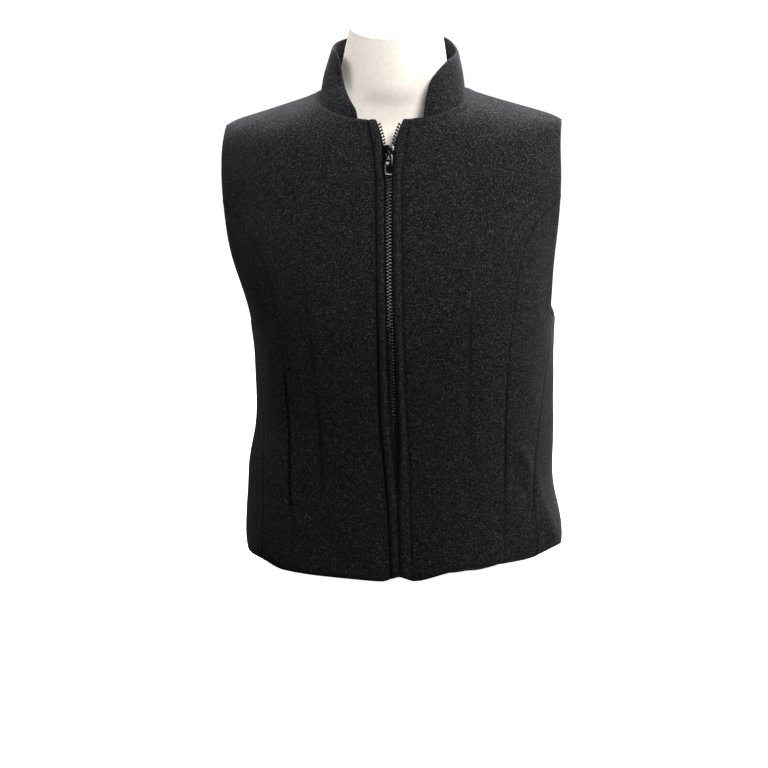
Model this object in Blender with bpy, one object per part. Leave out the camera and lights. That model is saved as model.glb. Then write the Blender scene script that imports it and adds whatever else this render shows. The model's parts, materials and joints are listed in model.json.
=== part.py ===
"""Wool vest with a stand collar and a front zip, on a smooth limbless dress form.

Sizes are in millimetres and become metres where a mesh is made. X is the wearer's left, Y the back
and Z up. The form stands on Z = 0. A place on the body is a turn about the vertical axis in degrees,
0 at centre front and 90 at the wearer's left side, and a height.
"""
import math
from collections import namedtuple

import bpy
import numpy as np
from mathutils import Matrix, Vector

# Walls and gaps
MM = 0.001
CLOTH = 2.4
COLLAR_CLOTH = 3.2
TAPE_CLOTH = 0.7
FACING_CLOTH = 1.0
SEAM_GAP = 0.3
SLANTED_SEAM_PULL = 0.28
POCKET_GAP = 1.8
HALF = SEAM_GAP / 2

# Body sections of the vest, outside of the cloth, and of the form below it
Section = namedtuple("Section", "height half_width front back squareness")
VEST = (
    Section(0, 183, 121, 108, 2.35),
    Section(60, 179, 119, 102, 2.35),
    Section(120, 174, 118, 94, 2.35),
    Section(180, 172, 120, 91, 2.30),
    Section(240, 173, 125, 96, 2.30),
    Section(300, 177, 128, 103, 2.30),
    Section(360, 186, 123, 107, 2.25),
    Section(420, 197, 112, 108, 2.10),
    Section(470, 201, 100, 105, 2.00),
    Section(505, 200, 89, 98, 1.90),
    Section(526, 194, 82, 89, 1.80),
    Section(546, 137, 73, 73, 1.74),
    Section(566, 80, 63, 57, 1.80),
    Section(580, 66, 56, 48, 1.90),
)
FORM = (
    Section(0, 112, 52, 46, 2.30),
    Section(10, 134, 72, 65, 2.30),
    Section(24, 149, 88, 80, 2.30),
    Section(40, 156, 95, 86, 2.30),
    Section(90, 150, 96, 79, 2.30),
    Section(150, 138, 96, 72, 2.25),
    Section(210, 140, 103, 76, 2.25),
    Section(270, 151, 112, 86, 2.25),
    Section(310, 158, 115, 91, 2.25),
    Section(370, 169, 106, 95, 2.20),
    Section(430, 178, 93, 95, 2.10),
    Section(480, 182, 79, 88, 1.95),
    Section(508, 182, 69, 79, 1.80),
    Section(520, 181, 63, 70, 1.70),
    Section(528, 171, 60, 63, 1.70),
    Section(538.5, 141, 59, 57, 1.70),
    Section(549, 110, 58, 53, 1.74),
    Section(557, 85, 59, 52, 1.82),
    Section(566, 69, 60, 52, 1.95),
    Section(582, 63, 59, 51, 2.00),
    Section(605, 59, 57, 49, 2.00),
    Section(640, 52, 53, 45, 2.00),
)

# How far each side stands out from the even sections, where an arm or the waist pushes it
Sides = namedtuple("Sides", "height right left")
SIDES = (
    Sides(20, 3, 1),
    Sides(50, 8, 7),
    Sides(105, 8, 3),
    Sides(130, 8, 5),
    Sides(170, 0, 8),
    Sides(210, -4, 8),
    Sides(285, -4, 8),
    Sides(325, 1, 8),
    Sides(355, 6, 4),
    Sides(385, 10, 2),
    Sides(430, 9, 1),
    Sides(500, 7, -1),
    Sides(526, 2, 0),
    Sides(560, 0, 0),
)
SIDES_SHARPNESS = 6

# Largest folds, that run out through the hem: a rise is a ridge and a negative one a trough
Fold = namedtuple("Fold", "top_turn top_height low_turn low_height half_width rise")
FOLDS = (
    Fold(70, 100, 80, 15, 22, 9),
    Fold(52, 130, 56, 15, 20, -3),
    Fold(-38, 250, -36, 15, 18, -2.5),
    Fold(-62, 150, -66, 15, 22, 3),
    Fold(24, 200, 27, 15, 24, 2.5),
    Fold(150, 210, 147, 15, 26, 4),
    Fold(170, 180, 172, 15, 20, -3),
    Fold(-152, 230, -149, 15, 24, 4.5),
    Fold(-108, 140, -112, 15, 26, 4),
    Fold(112, 120, 110, 15, 20, -3),
)
FOLD_RADIUS = 135.0

# Seams and edges of the wearer's left half: heights are in millimetres, turns in degrees
Edge = namedtuple("Edge", "height out")
FRONT_EDGE = (
    Edge(0, 1.1),
    Edge(110, 1.1),
    Edge(190, 4.7),
    Edge(466, 4.7),
    Edge(489, 7.0),
    Edge(509, 7.3),
    Edge(523, 10.8),
    Edge(539, 17.0),
)
LEAN = (
    Edge(0, 0),
    Edge(140, -1.0),
    Edge(230, -3.3),
    Edge(300, -3.8),
    Edge(480, -3.0),
    Edge(540, -1.2),
    Edge(580, 0),
)
LEAN_TURN = 32.0
PRINCESS = (
    Edge(0, 121),
    Edge(97, 122),
    Edge(180, 123),
    Edge(253, 127),
    Edge(300, 132),
    Edge(345, 138),
    Edge(380, 145),
    Edge(405, 155),
    Edge(424, 170),
    Edge(441, 191),
)
Turned = namedtuple("Turned", "turn height")
SIDE_SEAM = (
    Turned(65, 0),
    Turned(65, 60),
    Turned(66, 110),
    Turned(68.5, 165),
    Turned(72, 215),
    Turned(76, 265),
    Turned(79, 301),
)
ARMHOLE_FRONT = (
    Turned(80.6, 441),
    Turned(81.8, 465),
    Turned(83, 490),
    Turned(84.4, 508),
    Turned(86.4, 519.5),
    Turned(89.95, 525.7),
)
ARMHOLE_LOW_FRONT = (
    Turned(80.6, 441),
    Turned(79.2, 400),
    Turned(77.6, 355),
    Turned(76.2, 325),
    Turned(76.6, 309),
    Turned(79, 301),
)
ARMHOLE_LOW_BACK = (
    Turned(79, 301),
    Turned(83, 296.5),
    Turned(90, 295),
    Turned(97, 299),
    Turned(102, 309),
)
ARMHOLE_BACK = (
    Turned(102, 309),
    Turned(105, 322),
    Turned(107, 345),
    Turned(106, 395),
    Turned(102.5, 440),
    Turned(98.5, 480),
    Turned(95.8, 508),
    Turned(93.6, 519.5),
    Turned(90.05, 525.7),
)
HEM = (
    Turned(0, 15),
    Turned(30, 16),
    Turned(60, 21),
    Turned(90, 27),
    Turned(180, 27),
)
HANG = (
    Turned(-180, 0),
    Turned(-120, 0),
    Turned(-90, -5),
    Turned(-66, 4),
    Turned(-56, -3),
    Turned(-28, -3),
    Turned(-9, -5),
    Turned(9, -5),
    Turned(24, 3),
    Turned(36, 9),
    Turned(61, 3.5),
    Turned(76, 8),
    Turned(100, 6),
    Turned(140, 0),
    Turned(180, 0),
)
HANG_REACH = 130.0
HEM_LIFT = 5.0
HEM_LIFT_FROM = 2.0
HEM_LIFT_WIDTH = 14.0
HEM_FRONT_RADIUS = 120.0
FOOT_ROUNDS = 8
NECKLINE = (
    Turned(0, 536),
    Turned(13, 536.5),
    Turned(26, 537.5),
    Turned(45, 543.5),
    Turned(62, 553),
    Turned(78, 562),
    Turned(90, 566),
    Turned(110, 564),
    Turned(140, 559.5),
    Turned(180, 558),
)
NECK_OPEN_TURN = 13.0
SHOULDER_TIP = 525.7
BEFORE_RIDGE = 89.95
BEHIND_RIDGE = 90.05
UNDERARM = 301.0
BACK_LEVEL = 312.0
FRONT_PRINCESS_TOP = 432.0

# Grid counts
NECK_OPEN_COLUMNS = 2
NECK_FRONT_COLUMNS = 6
NECK_BACK_COLUMNS = 12
SHOULDER_COLUMNS = 7
SIDE_COLUMNS = 7
UNDERARM_COLUMNS = 4
LOW_ROWS = 16
FRONT_TOP_ROWS = 6
BACK_TOP_ROWS = 11
COLLAR_ROWS = 5

# Collar: the front end sits back from the zip and the top edge rises to the back
COLLAR_END_TURN = 26.0
COLLAR_TOP_END_TURN = 43.0
COLLAR_TOP_HALF_WIDTH = 73.0
COLLAR_TOP_SHIFT = 3.0
COLLAR_TOP_FRONT = 74.0
COLLAR_TOP_BACK = 57.0
COLLAR_BULGE = 1.5
COLLAR_TOP = (
    Turned(43, 575),
    Turned(48, 583),
    Turned(56, 592),
    Turned(70, 603),
    Turned(90, 612.5),
    Turned(120, 620),
    Turned(150, 624),
    Turned(180, 625),
)

# Pocket facings behind the open part of the princess seams
POCKET_TOP = 253.0
POCKET_LOW = 97.0
POCKET_FADE = 10.0
FACING_BACK_OFF = 0.6
FACING_SPREAD = 14.0
FACING_OVERLAP = 9.0
FACING_ROWS = 10
FACING_COLUMNS = 3

# Zip: depths are below the outside of the cloth
CHAIN_HALF_WIDTH = 3.8
CHAIN_THICK = 3.2
CHAIN_LOW = 22.0
CHAIN_TOP = 497.0
CHAIN_FRONT_HIGH = 1.2
CHAIN_FRONT_LOW = 3.0
CHAIN_SINK_LOW = 130.0
CHAIN_SINK_HEIGHT = 90.0
CHAIN_ROWS = 25
TAPE_IN = 4.05
TAPE_WIDTH = 12.0
TAPE_LOW = 20.5
TAPE_TOP = 536.0
TAPE_STRAIGHT_TOP = 466.0
TAPE_STRAIGHT_ROWS = 19
TAPE_TOP_ROWS = 8
TAPE_CLEAR = 0.7
TAPE_BACK_OFF = 0.8
TEETH_WIDTH = 3.1
TEETH_LOW = 502.5
TEETH_TOP = 535.0
TEETH_ROWS = 5
TEETH_CLEAR = 0.25

# Slider and pull tab, in the slider's own frame: X across, Y up the zip, Z out of the cloth
SLIDER_HEIGHT = 500.0
SLIDER_HALF_LENGTH = 8.5
SLIDER_TOP_HALF_WIDTH = 6.2
SLIDER_LOW_HALF_WIDTH = 4.6
PLATE_FRONT = (-0.8, 0.9)
PLATE_BACK = (-6.1, -4.8)
WEDGE = (-1.1, 1.1, 4.0, 7.6)
BRIDGE_HALF_WIDTH = 1.2
BRIDGE_CENTRE = -3.2
BRIDGE_HALF_LENGTH = 4.2
BRIDGE_INNER_HALF_LENGTH = 2.9
BRIDGE_INNER_TOP = 3.3
BRIDGE_TOP = 4.4
HINGE_OUT = 2.3
BAR_RADIUS = 0.7
TAB_HALF_WIDTH = 4.8
TAB_LENGTH = 23.5
TAB_HALF_THICK = 0.9
TAB_WINDOW_HALF_WIDTH = 2.1
TAB_WINDOW_LENGTH = 5.6
TAB_PANEL = (-3.2, 3.2, -21.3, -8.6)
TAB_PANEL_DEPTH = 0.4

# Form
FORM_SIDES = 48
FORM_HEIGHTS = (0, 10, 24, 40, 75, 110, 145, 180, 215, 250, 280, 310, 345, 380, 415, 445, 475, 498, 512, 523,
                532, 540, 548, 554, 560, 566, 575, 590, 606, 622, 637)
NECK_TILT = math.tan(math.radians(14))
NECK_TILT_FROM = 575.0
NECK_TOP = 637.0
NECK_SHIFT = 4.0
NECK_SHIFT_FROM = 560.0
NECK_HOLE_RADIUS = 22.5
NECK_HOLE_CENTRE_Y = -4.0
NECK_HOLE_FLOOR = 590.0


def smooth_through(at, knots, values):
    """A curve through the values at the knots that never overshoots between two of them."""
    knots = np.asarray(knots, float)
    values = np.asarray(values, float)
    at = np.clip(np.asarray(at, float), knots[0], knots[-1])
    step = np.diff(knots)
    slope = np.diff(values) / step
    tangent = np.zeros(len(knots))
    tangent[0] = slope[0]
    tangent[-1] = slope[-1]
    for k in range(1, len(knots) - 1):
        if slope[k - 1] * slope[k] > 0:
            tangent[k] = 2 * slope[k - 1] * slope[k] / (slope[k - 1] + slope[k])
    k = np.clip(np.searchsorted(knots, at, side="right") - 1, 0, len(knots) - 2)
    t = (at - knots[k]) / step[k]
    rise = values[k] * (2 * t**3 - 3 * t**2 + 1) + values[k + 1] * (3 * t**2 - 2 * t**3)
    lean = tangent[k] * (t**3 - 2 * t**2 + t) + tangent[k + 1] * (t**3 - t**2)
    return rise + lean * step[k]


def column(table, name):
    return [getattr(row, name) for row in table]


def by_height(table, name, height):
    return smooth_through(height, column(table, "height"), column(table, name))


def by_turn(table, turn):
    """Height on an edge at a turn, the same on both sides of the body."""
    around = np.abs((np.asarray(turn, float) + 180) % 360 - 180)
    return smooth_through(around, column(table, "turn"), column(table, "height"))


def radius(table, turn, height):
    """Distance from the axis to a section's outline."""
    angle = np.radians(turn)
    squareness = by_height(table, "squareness", height)
    front = by_height(table, "front", height)
    back = by_height(table, "back", height)
    across = np.abs(np.sin(angle)) / by_height(table, "half_width", height)
    along = np.abs(np.cos(angle)) / np.where(np.cos(angle) > 0, front, back)
    return (across**squareness + along**squareness) ** (-1 / squareness)


def fold_rise(turn, height):
    total = np.zeros(np.broadcast(turn, height).shape)
    for fold in FOLDS:
        up = (height - fold.low_height) / (fold.top_height - fold.low_height)
        centre = fold.low_turn + (fold.top_turn - fold.low_turn) * np.clip(up, 0, 1)
        off = np.radians((turn - centre + 180) % 360 - 180) * FOLD_RADIUS / fold.half_width
        fade = np.clip(1 - up, 0, 1)
        total = total + fold.rise * np.exp(-off**2) * fade**2 * (3 - 2 * fade)
    return total


def side_rise(turn, height):
    """How far the sides stand out, most at the middle of each side."""
    sideways = np.sin(np.radians(turn))
    out = np.where(sideways > 0, by_height(SIDES, "left", height), by_height(SIDES, "right", height))
    return out * np.abs(sideways) ** SIDES_SHARPNESS


def hang(turn, height):
    """How far the cloth hangs above its even height, most at the hem."""
    around = (turn + 180) % 360 - 180
    fade = np.clip(1 - (height - HEM[0].height) / HANG_REACH, 0, 1)
    return smooth_through(around, column(HANG, "turn"), column(HANG, "height")) * fade**2


def lean(turn, height):
    """How far the cloth beside the zip is drawn to the wearer's left, negative to the right."""
    around = (turn + 180) % 360 - 180
    return by_height(LEAN, "out", height) * np.exp(-((around / LEAN_TURN) ** 2))


def point(reach, turn, height):
    angle = np.radians(turn)
    return np.stack([reach * np.sin(angle), -reach * np.cos(angle), height + 0 * reach], axis=-1)


def plain_cloth(turn, height):
    """A point of the vest's outside before it folds and hangs, the same on both halves."""
    turn = np.asarray(turn, float)
    height = np.asarray(height, float)
    return point(radius(VEST, turn, height), turn, height)


def cloth(turn, height):
    turn = np.asarray(turn, float)
    height = np.asarray(height, float)
    reach = radius(VEST, turn, height) + fold_rise(turn, height) + side_rise(turn, height)
    place = point(reach, turn, height + hang(turn, height))
    place[..., 0] += lean(turn, height)
    return place


def unit(vectors):
    return vectors / np.linalg.norm(vectors, axis=-1, keepdims=True)


def cloth_normal(turn, height):
    around = cloth(turn + 0.4, height) - cloth(turn - 0.4, height)
    upward = cloth(turn, height + 0.8) - cloth(turn, height - 0.8)
    return unit(np.cross(around, upward))


def turn_of(out, height):
    """Turn at which the front of the vest lies a distance out from the centre plane."""
    half_width = by_height(VEST, "half_width", height)
    squareness = by_height(VEST, "squareness", height)
    share = np.clip(np.asarray(out, float) / half_width, 0, 1)
    deep = by_height(VEST, "front", height) * (1 - share**squareness) ** (1 / squareness)
    return np.degrees(np.arctan2(out, deep))


def along_points(table, count, crowd=1.0):
    """Turns and heights along a curve through a table's points, crowded to its end by a power over 1."""
    turns = np.array(column(table, "turn"), float)
    heights = np.array(column(table, "height"), float)
    places = plain_cloth(turns, heights)
    reach = np.concatenate([[0], np.cumsum(np.linalg.norm(np.diff(places, axis=0), axis=1))])
    at = reach[-1] * (1 - (1 - np.linspace(0, 1, count + 1)) ** crowd)
    return np.stack([smooth_through(at, reach, turns), smooth_through(at, reach, heights)], axis=-1)


def joined(*runs):
    """Runs of turns and heights end to end, each shared end kept once."""
    return np.concatenate([runs[0]] + [run[1:] for run in runs[1:]])


def patch(low, top, left, right):
    """Turns and heights all over a panel from those along its four edges."""
    rows = len(left)
    columns = len(low)
    edges = [plain_cloth(edge[:, 0], edge[:, 1]) for edge in (low, top, left, right)]
    low_points, top_points, left_points, right_points = edges
    u = np.linspace(0, 1, columns)[None, :, None]
    v = np.linspace(0, 1, rows)[:, None, None]
    across = (1 - u) * left_points[:, None] + u * right_points[:, None]
    upward = (1 - v) * low_points[None] + v * top_points[None]
    corners = (1 - v) * ((1 - u) * low_points[0] + u * low_points[-1])
    corners = corners + v * ((1 - u) * top_points[0] + u * top_points[-1])
    places = across + upward - corners
    turn = np.degrees(np.arctan2(places[..., 0], -places[..., 1])) % 360
    height = places[..., 2].copy()
    turn[0], height[0] = low[:, 0], low[:, 1]
    turn[-1], height[-1] = top[:, 0], top[:, 1]
    turn[:, 0], height[:, 0] = left[:, 0], left[:, 1]
    turn[:, -1], height[:, -1] = right[:, 0], right[:, 1]
    return turn, height


def run(turns, heights):
    return np.stack([np.broadcast_to(turns, np.shape(heights)), heights], axis=-1)


def hem_height(turn):
    """Height of the hem, drawn up a little where it meets the zip."""
    out = np.abs(np.sin(np.radians(turn))) * HEM_FRONT_RADIUS
    near = np.clip(1 - (out - HEM_LIFT_FROM) / HEM_LIFT_WIDTH, 0, 1) * (np.cos(np.radians(turn)) > 0)
    return by_turn(HEM, turn) + HEM_LIFT * near**2 * (3 - 2 * near)


def front_edge_turn(height):
    return turn_of(by_height(FRONT_EDGE, "out", height), height)


def princess_turn(height):
    return turn_of(by_height(PRINCESS, "out", height), height)


def side_seam_turn(height):
    return smooth_through(height, column(SIDE_SEAM, "height"), column(SIDE_SEAM, "turn"))


def seam_run(seam_turn, top, rows):
    """Rows from the hem up a seam; the foot of the seam is where it meets the hem."""
    foot = HEM[0].height
    for _ in range(FOOT_ROUNDS):
        foot = float(hem_height(seam_turn(foot)))
    heights = np.linspace(foot, top, rows + 1)
    return run(seam_turn(heights), heights)


def front_panel():
    """Turns and heights of the left centre front."""
    low_edge = seam_run(front_edge_turn, FRONT_PRINCESS_TOP, LOW_ROWS)
    neck_end = float(by_turn(NECKLINE, NECK_OPEN_TURN))
    high = np.linspace(FRONT_PRINCESS_TOP, neck_end, FRONT_TOP_ROWS + 1)
    left = joined(low_edge, run(front_edge_turn(high), high))
    seam = seam_run(princess_turn, ARMHOLE_FRONT[0].height, LOW_ROWS)
    seam[-1] = ARMHOLE_FRONT[0]
    right = joined(seam, along_points(ARMHOLE_FRONT, FRONT_TOP_ROWS, 1.3))
    columns = NECK_OPEN_COLUMNS + NECK_FRONT_COLUMNS + SHOULDER_COLUMNS
    share = np.linspace(0, 1, columns + 1)
    turns = left[0, 0] + (right[0, 0] - left[0, 0]) * share
    low = run(turns, hem_height(turns))
    open_turns = np.linspace(left[-1, 0], COLLAR_END_TURN, NECK_OPEN_COLUMNS + 1)
    neck_turns = np.linspace(COLLAR_END_TURN, BEFORE_RIDGE, NECK_FRONT_COLUMNS + 1)
    shoulder = np.linspace(by_turn(NECKLINE, BEFORE_RIDGE), SHOULDER_TIP, SHOULDER_COLUMNS + 1)
    top = joined(run(open_turns, by_turn(NECKLINE, open_turns)), run(neck_turns, by_turn(NECKLINE, neck_turns)),
                 run(BEFORE_RIDGE, shoulder))
    return patch(low, top, left, right)


def side_panel():
    left = seam_run(princess_turn, ARMHOLE_FRONT[0].height, LOW_ROWS)
    left[-1] = ARMHOLE_FRONT[0]
    right = seam_run(side_seam_turn, UNDERARM, LOW_ROWS)
    share = np.linspace(0, 1, SIDE_COLUMNS + 1)
    turns = left[0, 0] + (right[0, 0] - left[0, 0]) * share
    low = run(turns, hem_height(turns))
    top = along_points(ARMHOLE_LOW_FRONT, SIDE_COLUMNS, 1.7)
    return patch(low, top, left, right)


def back_panels():
    """Turns and heights of the back: a grid up to the underarms and a narrower one between the armholes."""
    seam = seam_run(side_seam_turn, UNDERARM, LOW_ROWS)
    seam[-1] = ARMHOLE_LOW_BACK[0]
    under = along_points(ARMHOLE_LOW_BACK, UNDERARM_COLUMNS)
    columns = 2 * SHOULDER_COLUMNS + NECK_BACK_COLUMNS
    level_turns = np.linspace(under[-1, 0], 360 - under[-1, 0], columns + 1)
    sag = np.sin(np.pi * np.linspace(0, 1, columns + 1))
    level = run(level_turns, under[-1, 1] + (BACK_LEVEL - under[-1, 1]) * sag)
    middle = joined(under, level, mirrored(under))
    turns = np.linspace(seam[0, 0], 360 - seam[0, 0], len(middle))
    lower = patch(run(turns, hem_height(turns)), middle, seam, mirrored(seam)[::-1])
    armhole = along_points(ARMHOLE_BACK, BACK_TOP_ROWS, 1.25)
    shoulder = np.linspace(SHOULDER_TIP, by_turn(NECKLINE, BEHIND_RIDGE), SHOULDER_COLUMNS + 1)
    neck_turns = np.linspace(BEHIND_RIDGE, 360 - BEHIND_RIDGE, NECK_BACK_COLUMNS + 1)
    top = joined(run(BEHIND_RIDGE, shoulder), run(neck_turns, by_turn(NECKLINE, neck_turns)),
                 run(360 - BEHIND_RIDGE, shoulder[::-1]))
    upper = patch(level, top, armhole, mirrored(armhole)[::-1])
    return lower, upper


def mirrored(points):
    """A run of turns and heights on the wearer's right, from its far end."""
    turned = points[::-1].copy()
    turned[:, 0] = 360 - turned[:, 0]
    return turned


def other_side(turn, height):
    """The same panel on the wearer's right, its columns turned round so that it still faces out."""
    return (360 - turn)[:, ::-1], height[:, ::-1]


def pulled_in(grid, pull_low, pull_top, pull_left, pull_right):
    """Edges moved towards the next row or column, so that two panels stay apart at a seam."""
    moved = grid.copy()
    moved[0] += pull_low * unit(grid[1] - grid[0])
    moved[-1] += pull_top * unit(grid[-2] - grid[-1])
    moved[:, 0] += np.reshape(pull_left, (-1, 1)) * unit(grid[:, 1] - grid[:, 0])
    moved[:, -1] += np.reshape(pull_right, (-1, 1)) * unit(grid[:, -2] - grid[:, -1])
    return moved


def pocket_pull(heights):
    """Half the seam's gap, wider along the pocket mouth."""
    inside = np.minimum(heights - POCKET_LOW, POCKET_TOP - heights) / POCKET_FADE
    inside = np.clip(inside, 0, 1)
    return SLANTED_SEAM_PULL + (POCKET_GAP / 2 - SLANTED_SEAM_PULL) * inside


def grid_faces(index):
    """Four-sided faces between the numbered points of a grid."""
    corners = (index[:-1, :-1], index[:-1, 1:], index[1:, 1:], index[1:, :-1])
    return np.stack(corners, axis=-1).reshape(-1, 4).tolist()


def wall_faces(faces, count):
    """Faces of a closed wall: the outside, the inside and the rim along every free edge."""
    edges = {(a, b) for face in faces for a, b in zip(face, face[1:] + face[:1])}
    inside = [[count + k for k in reversed(face)] for face in faces]
    rim = [[b, a, count + a, count + b] for a, b in sorted(edges) if (b, a) not in edges]
    return faces + inside + rim


def new_object(name, points, faces, material, parent):
    mesh = bpy.data.meshes.new(name)
    mesh.from_pydata([tuple(p) for p in np.asarray(points) * MM], [], faces)
    mesh.validate()
    obj = bpy.data.objects.new(name, mesh)
    bpy.context.scene.collection.objects.link(obj)
    obj.data.materials.append(material)
    obj.parent = parent
    return obj


def new_wall(name, outside, inside, material, parent, faces=None):
    """A wall between an outside and an inside, each a grid, or loose points with their faces."""
    if faces is None:
        faces = grid_faces(np.arange(outside.shape[0] * outside.shape[1]).reshape(outside.shape[:2]))
    outside = outside.reshape(-1, 3)
    points = np.concatenate([outside, inside.reshape(-1, 3)])
    return new_object(name, points, wall_faces(faces, len(outside)), material, parent)


def new_material(name, colour, roughness):
    material = bpy.data.materials.new(name)
    material.use_nodes = True
    shader = material.node_tree.nodes["Principled BSDF"]
    shader.inputs["Base Color"].default_value = (*colour, 1)
    shader.inputs["Roughness"].default_value = roughness
    return material


def make_panel(name, places, pulls, material, parent):
    turn, height = places
    outside = pulled_in(cloth(turn, height), *pulls)
    inside = outside - CLOTH * cloth_normal(turn, height)
    return new_wall(name, outside, inside, material, parent)


def make_back(material, parent):
    lower, upper = back_panels()
    low = pulled_in(cloth(*lower), 0, 0, HALF, HALF)
    high = pulled_in(cloth(*upper), 0, HALF, 0, 0)
    low_inside = low - CLOTH * cloth_normal(*lower)
    high_inside = high - CLOTH * cloth_normal(*upper)
    low_index = np.arange(low.shape[0] * low.shape[1]).reshape(low.shape[:2])
    high_index = low_index[-1, -1] + 1 + np.arange((high.shape[0] - 1) * high.shape[1])
    shared = low_index[-1, UNDERARM_COLUMNS:-UNDERARM_COLUMNS]
    high_index = np.concatenate([shared[None], high_index.reshape(-1, high.shape[1])])
    outside = np.concatenate([low.reshape(-1, 3), high[1:].reshape(-1, 3)])
    inside = np.concatenate([low_inside.reshape(-1, 3), high_inside[1:].reshape(-1, 3)])
    return new_wall("back", outside, inside, material, parent, grid_faces(low_index) + grid_faces(high_index))


def make_collar(material, parent):
    """A band from the neckline up to the rising top edge, open at the front."""
    ends = np.linspace(COLLAR_END_TURN, BEFORE_RIDGE, NECK_FRONT_COLUMNS + 1)
    rear = np.linspace(BEHIND_RIDGE, 360 - BEHIND_RIDGE, NECK_BACK_COLUMNS + 1)[1:-1]
    low_turn = np.concatenate([ends, rear, 360 - ends[::-1]])
    share = (low_turn - COLLAR_END_TURN) / (360 - 2 * COLLAR_END_TURN)
    top_turn = COLLAR_TOP_END_TURN + (360 - 2 * COLLAR_TOP_END_TURN) * share
    low = cloth(low_turn, by_turn(NECKLINE, low_turn))
    angle = np.radians(top_turn)
    deep = np.where(np.cos(angle) > 0, COLLAR_TOP_FRONT, COLLAR_TOP_BACK)
    reach = ((np.sin(angle) / COLLAR_TOP_HALF_WIDTH) ** 2 + (np.cos(angle) / deep) ** 2) ** -0.5
    top = point(reach, top_turn, by_turn(COLLAR_TOP, top_turn)) + (COLLAR_TOP_SHIFT, 0, 0)
    low = low + SEAM_GAP * unit(top - low)
    v = np.linspace(0, 1, COLLAR_ROWS + 1)[:, None, None]
    outside = low[None] * (1 - v) + top[None] * v
    normal = unit(np.cross(np.gradient(outside, axis=1), np.gradient(outside, axis=0)))
    outside = outside + COLLAR_BULGE * np.sin(np.pi * v) * normal
    return new_wall("collar", outside, outside - COLLAR_CLOTH * normal, material, parent)


def make_facing(name, side, material, parent):
    """A strip behind the pocket mouth, made from the panel's own points moved in."""
    heights = np.linspace(POCKET_LOW - FACING_OVERLAP, POCKET_TOP + FACING_OVERLAP, FACING_ROWS + 1)
    spread = np.linspace(-FACING_SPREAD, FACING_SPREAD, FACING_COLUMNS + 1)
    seam = by_height(PRINCESS, "out", heights)
    turn = turn_of(seam[:, None] + spread[None], heights[:, None])
    height = np.broadcast_to(heights[:, None], turn.shape)
    if side < 0:
        turn, height = other_side(turn, height)
    normal = cloth_normal(turn, height)
    outside = cloth(turn, height) - (CLOTH + FACING_BACK_OFF) * normal
    return new_wall(name, outside, outside - FACING_CLOTH * normal, material, parent)


def chain_front(height):
    """Depth of the chain's face: it sinks behind the cloth edges where they close over it."""
    share = np.clip((np.asarray(height, float) - CHAIN_SINK_LOW) / CHAIN_SINK_HEIGHT, 0, 1)
    return CHAIN_FRONT_LOW + (CHAIN_FRONT_HIGH - CHAIN_FRONT_LOW) * share * share * (3 - 2 * share)


def strip(out_from, out_to, heights, depth, thick):
    """A band up the front between two distances out from the centre plane, at a depth in the cloth."""
    outs = np.stack([out_from, out_to], axis=-1)
    turn = np.sign(outs) * turn_of(np.abs(outs), heights[:, None])
    height = np.broadcast_to(heights[:, None], turn.shape)
    normal = cloth_normal(turn, height)
    outside = cloth(turn, height) - np.reshape(depth, (-1, 1, 1)) * normal
    return outside, outside - thick * normal


def make_zip_strip(name, side, inner, width, heights, depth, thick, material, parent):
    ends = (side * inner, side * (inner + width))
    outside, inside = strip(min(ends, key=np.sum), max(ends, key=np.sum), heights, depth, thick)
    return new_wall(name, outside, inside, material, parent)


def prism(outline, low, top):
    """Points and faces of a flat outline carried from one level to another."""
    count = len(outline)
    points = [(x, y, low) for x, y in outline] + [(x, y, top) for x, y in outline]
    faces = [list(range(count - 1, -1, -1)), list(range(count, 2 * count))]
    for k in range(count):
        after = (k + 1) % count
        faces.append([k, after, count + after, count + k])
    return points, faces


def box(x0, x1, y0, y1, z0, z1):
    return prism([(x0, y0), (x1, y0), (x1, y1), (x0, y1)], z0, z1)


def hidden_tool(name, solid, material, parent):
    obj = new_object(name, solid[0], solid[1], material, parent)
    obj.hide_render = True
    obj.display_type = "WIRE"
    return obj


def combine(obj, tool, operation):
    modifier = obj.modifiers.new(tool.name, "BOOLEAN")
    modifier.object = tool
    modifier.operation = operation
    modifier.solver = "EXACT"


def slider_outline(trim):
    """A shield: full width over its upper half, narrower at its foot, with its corners cut."""
    wide = SLIDER_TOP_HALF_WIDTH - trim
    foot = SLIDER_LOW_HALF_WIDTH - trim
    top = SLIDER_HALF_LENGTH - trim
    right = [(foot - 1.2, -top), (foot, -top + 1.2), (wide, 1.0), (wide, top - 2.0), (wide - 2.0, top)]
    return right + [(-x, y) for x, y in reversed(right)]


def make_slider(material, frame):
    obj = new_object("zip_slider", *prism(slider_outline(0), *PLATE_FRONT), material, frame)
    back = hidden_tool("slider_back_plate", prism(slider_outline(0.2), *PLATE_BACK), material, frame)
    wedge = hidden_tool("slider_wedge", box(*WEDGE, PLATE_BACK[1] - 0.5, PLATE_FRONT[0] + 0.5), material, frame)
    block = box(-BRIDGE_HALF_WIDTH, BRIDGE_HALF_WIDTH, BRIDGE_CENTRE - BRIDGE_HALF_LENGTH,
                BRIDGE_CENTRE + BRIDGE_HALF_LENGTH, PLATE_FRONT[1] - 0.4, BRIDGE_TOP)
    bridge = hidden_tool("slider_bridge", block, material, frame)
    gap = box(-BRIDGE_HALF_WIDTH - 1, BRIDGE_HALF_WIDTH + 1, BRIDGE_CENTRE - BRIDGE_INNER_HALF_LENGTH,
              BRIDGE_CENTRE + BRIDGE_INNER_HALF_LENGTH, PLATE_FRONT[1], BRIDGE_INNER_TOP)
    gap_tool = hidden_tool("slider_bridge_gap", gap, material, frame)
    for tool in (back, wedge, bridge):
        combine(obj, tool, "UNION")
    combine(obj, gap_tool, "DIFFERENCE")
    return obj


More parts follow.
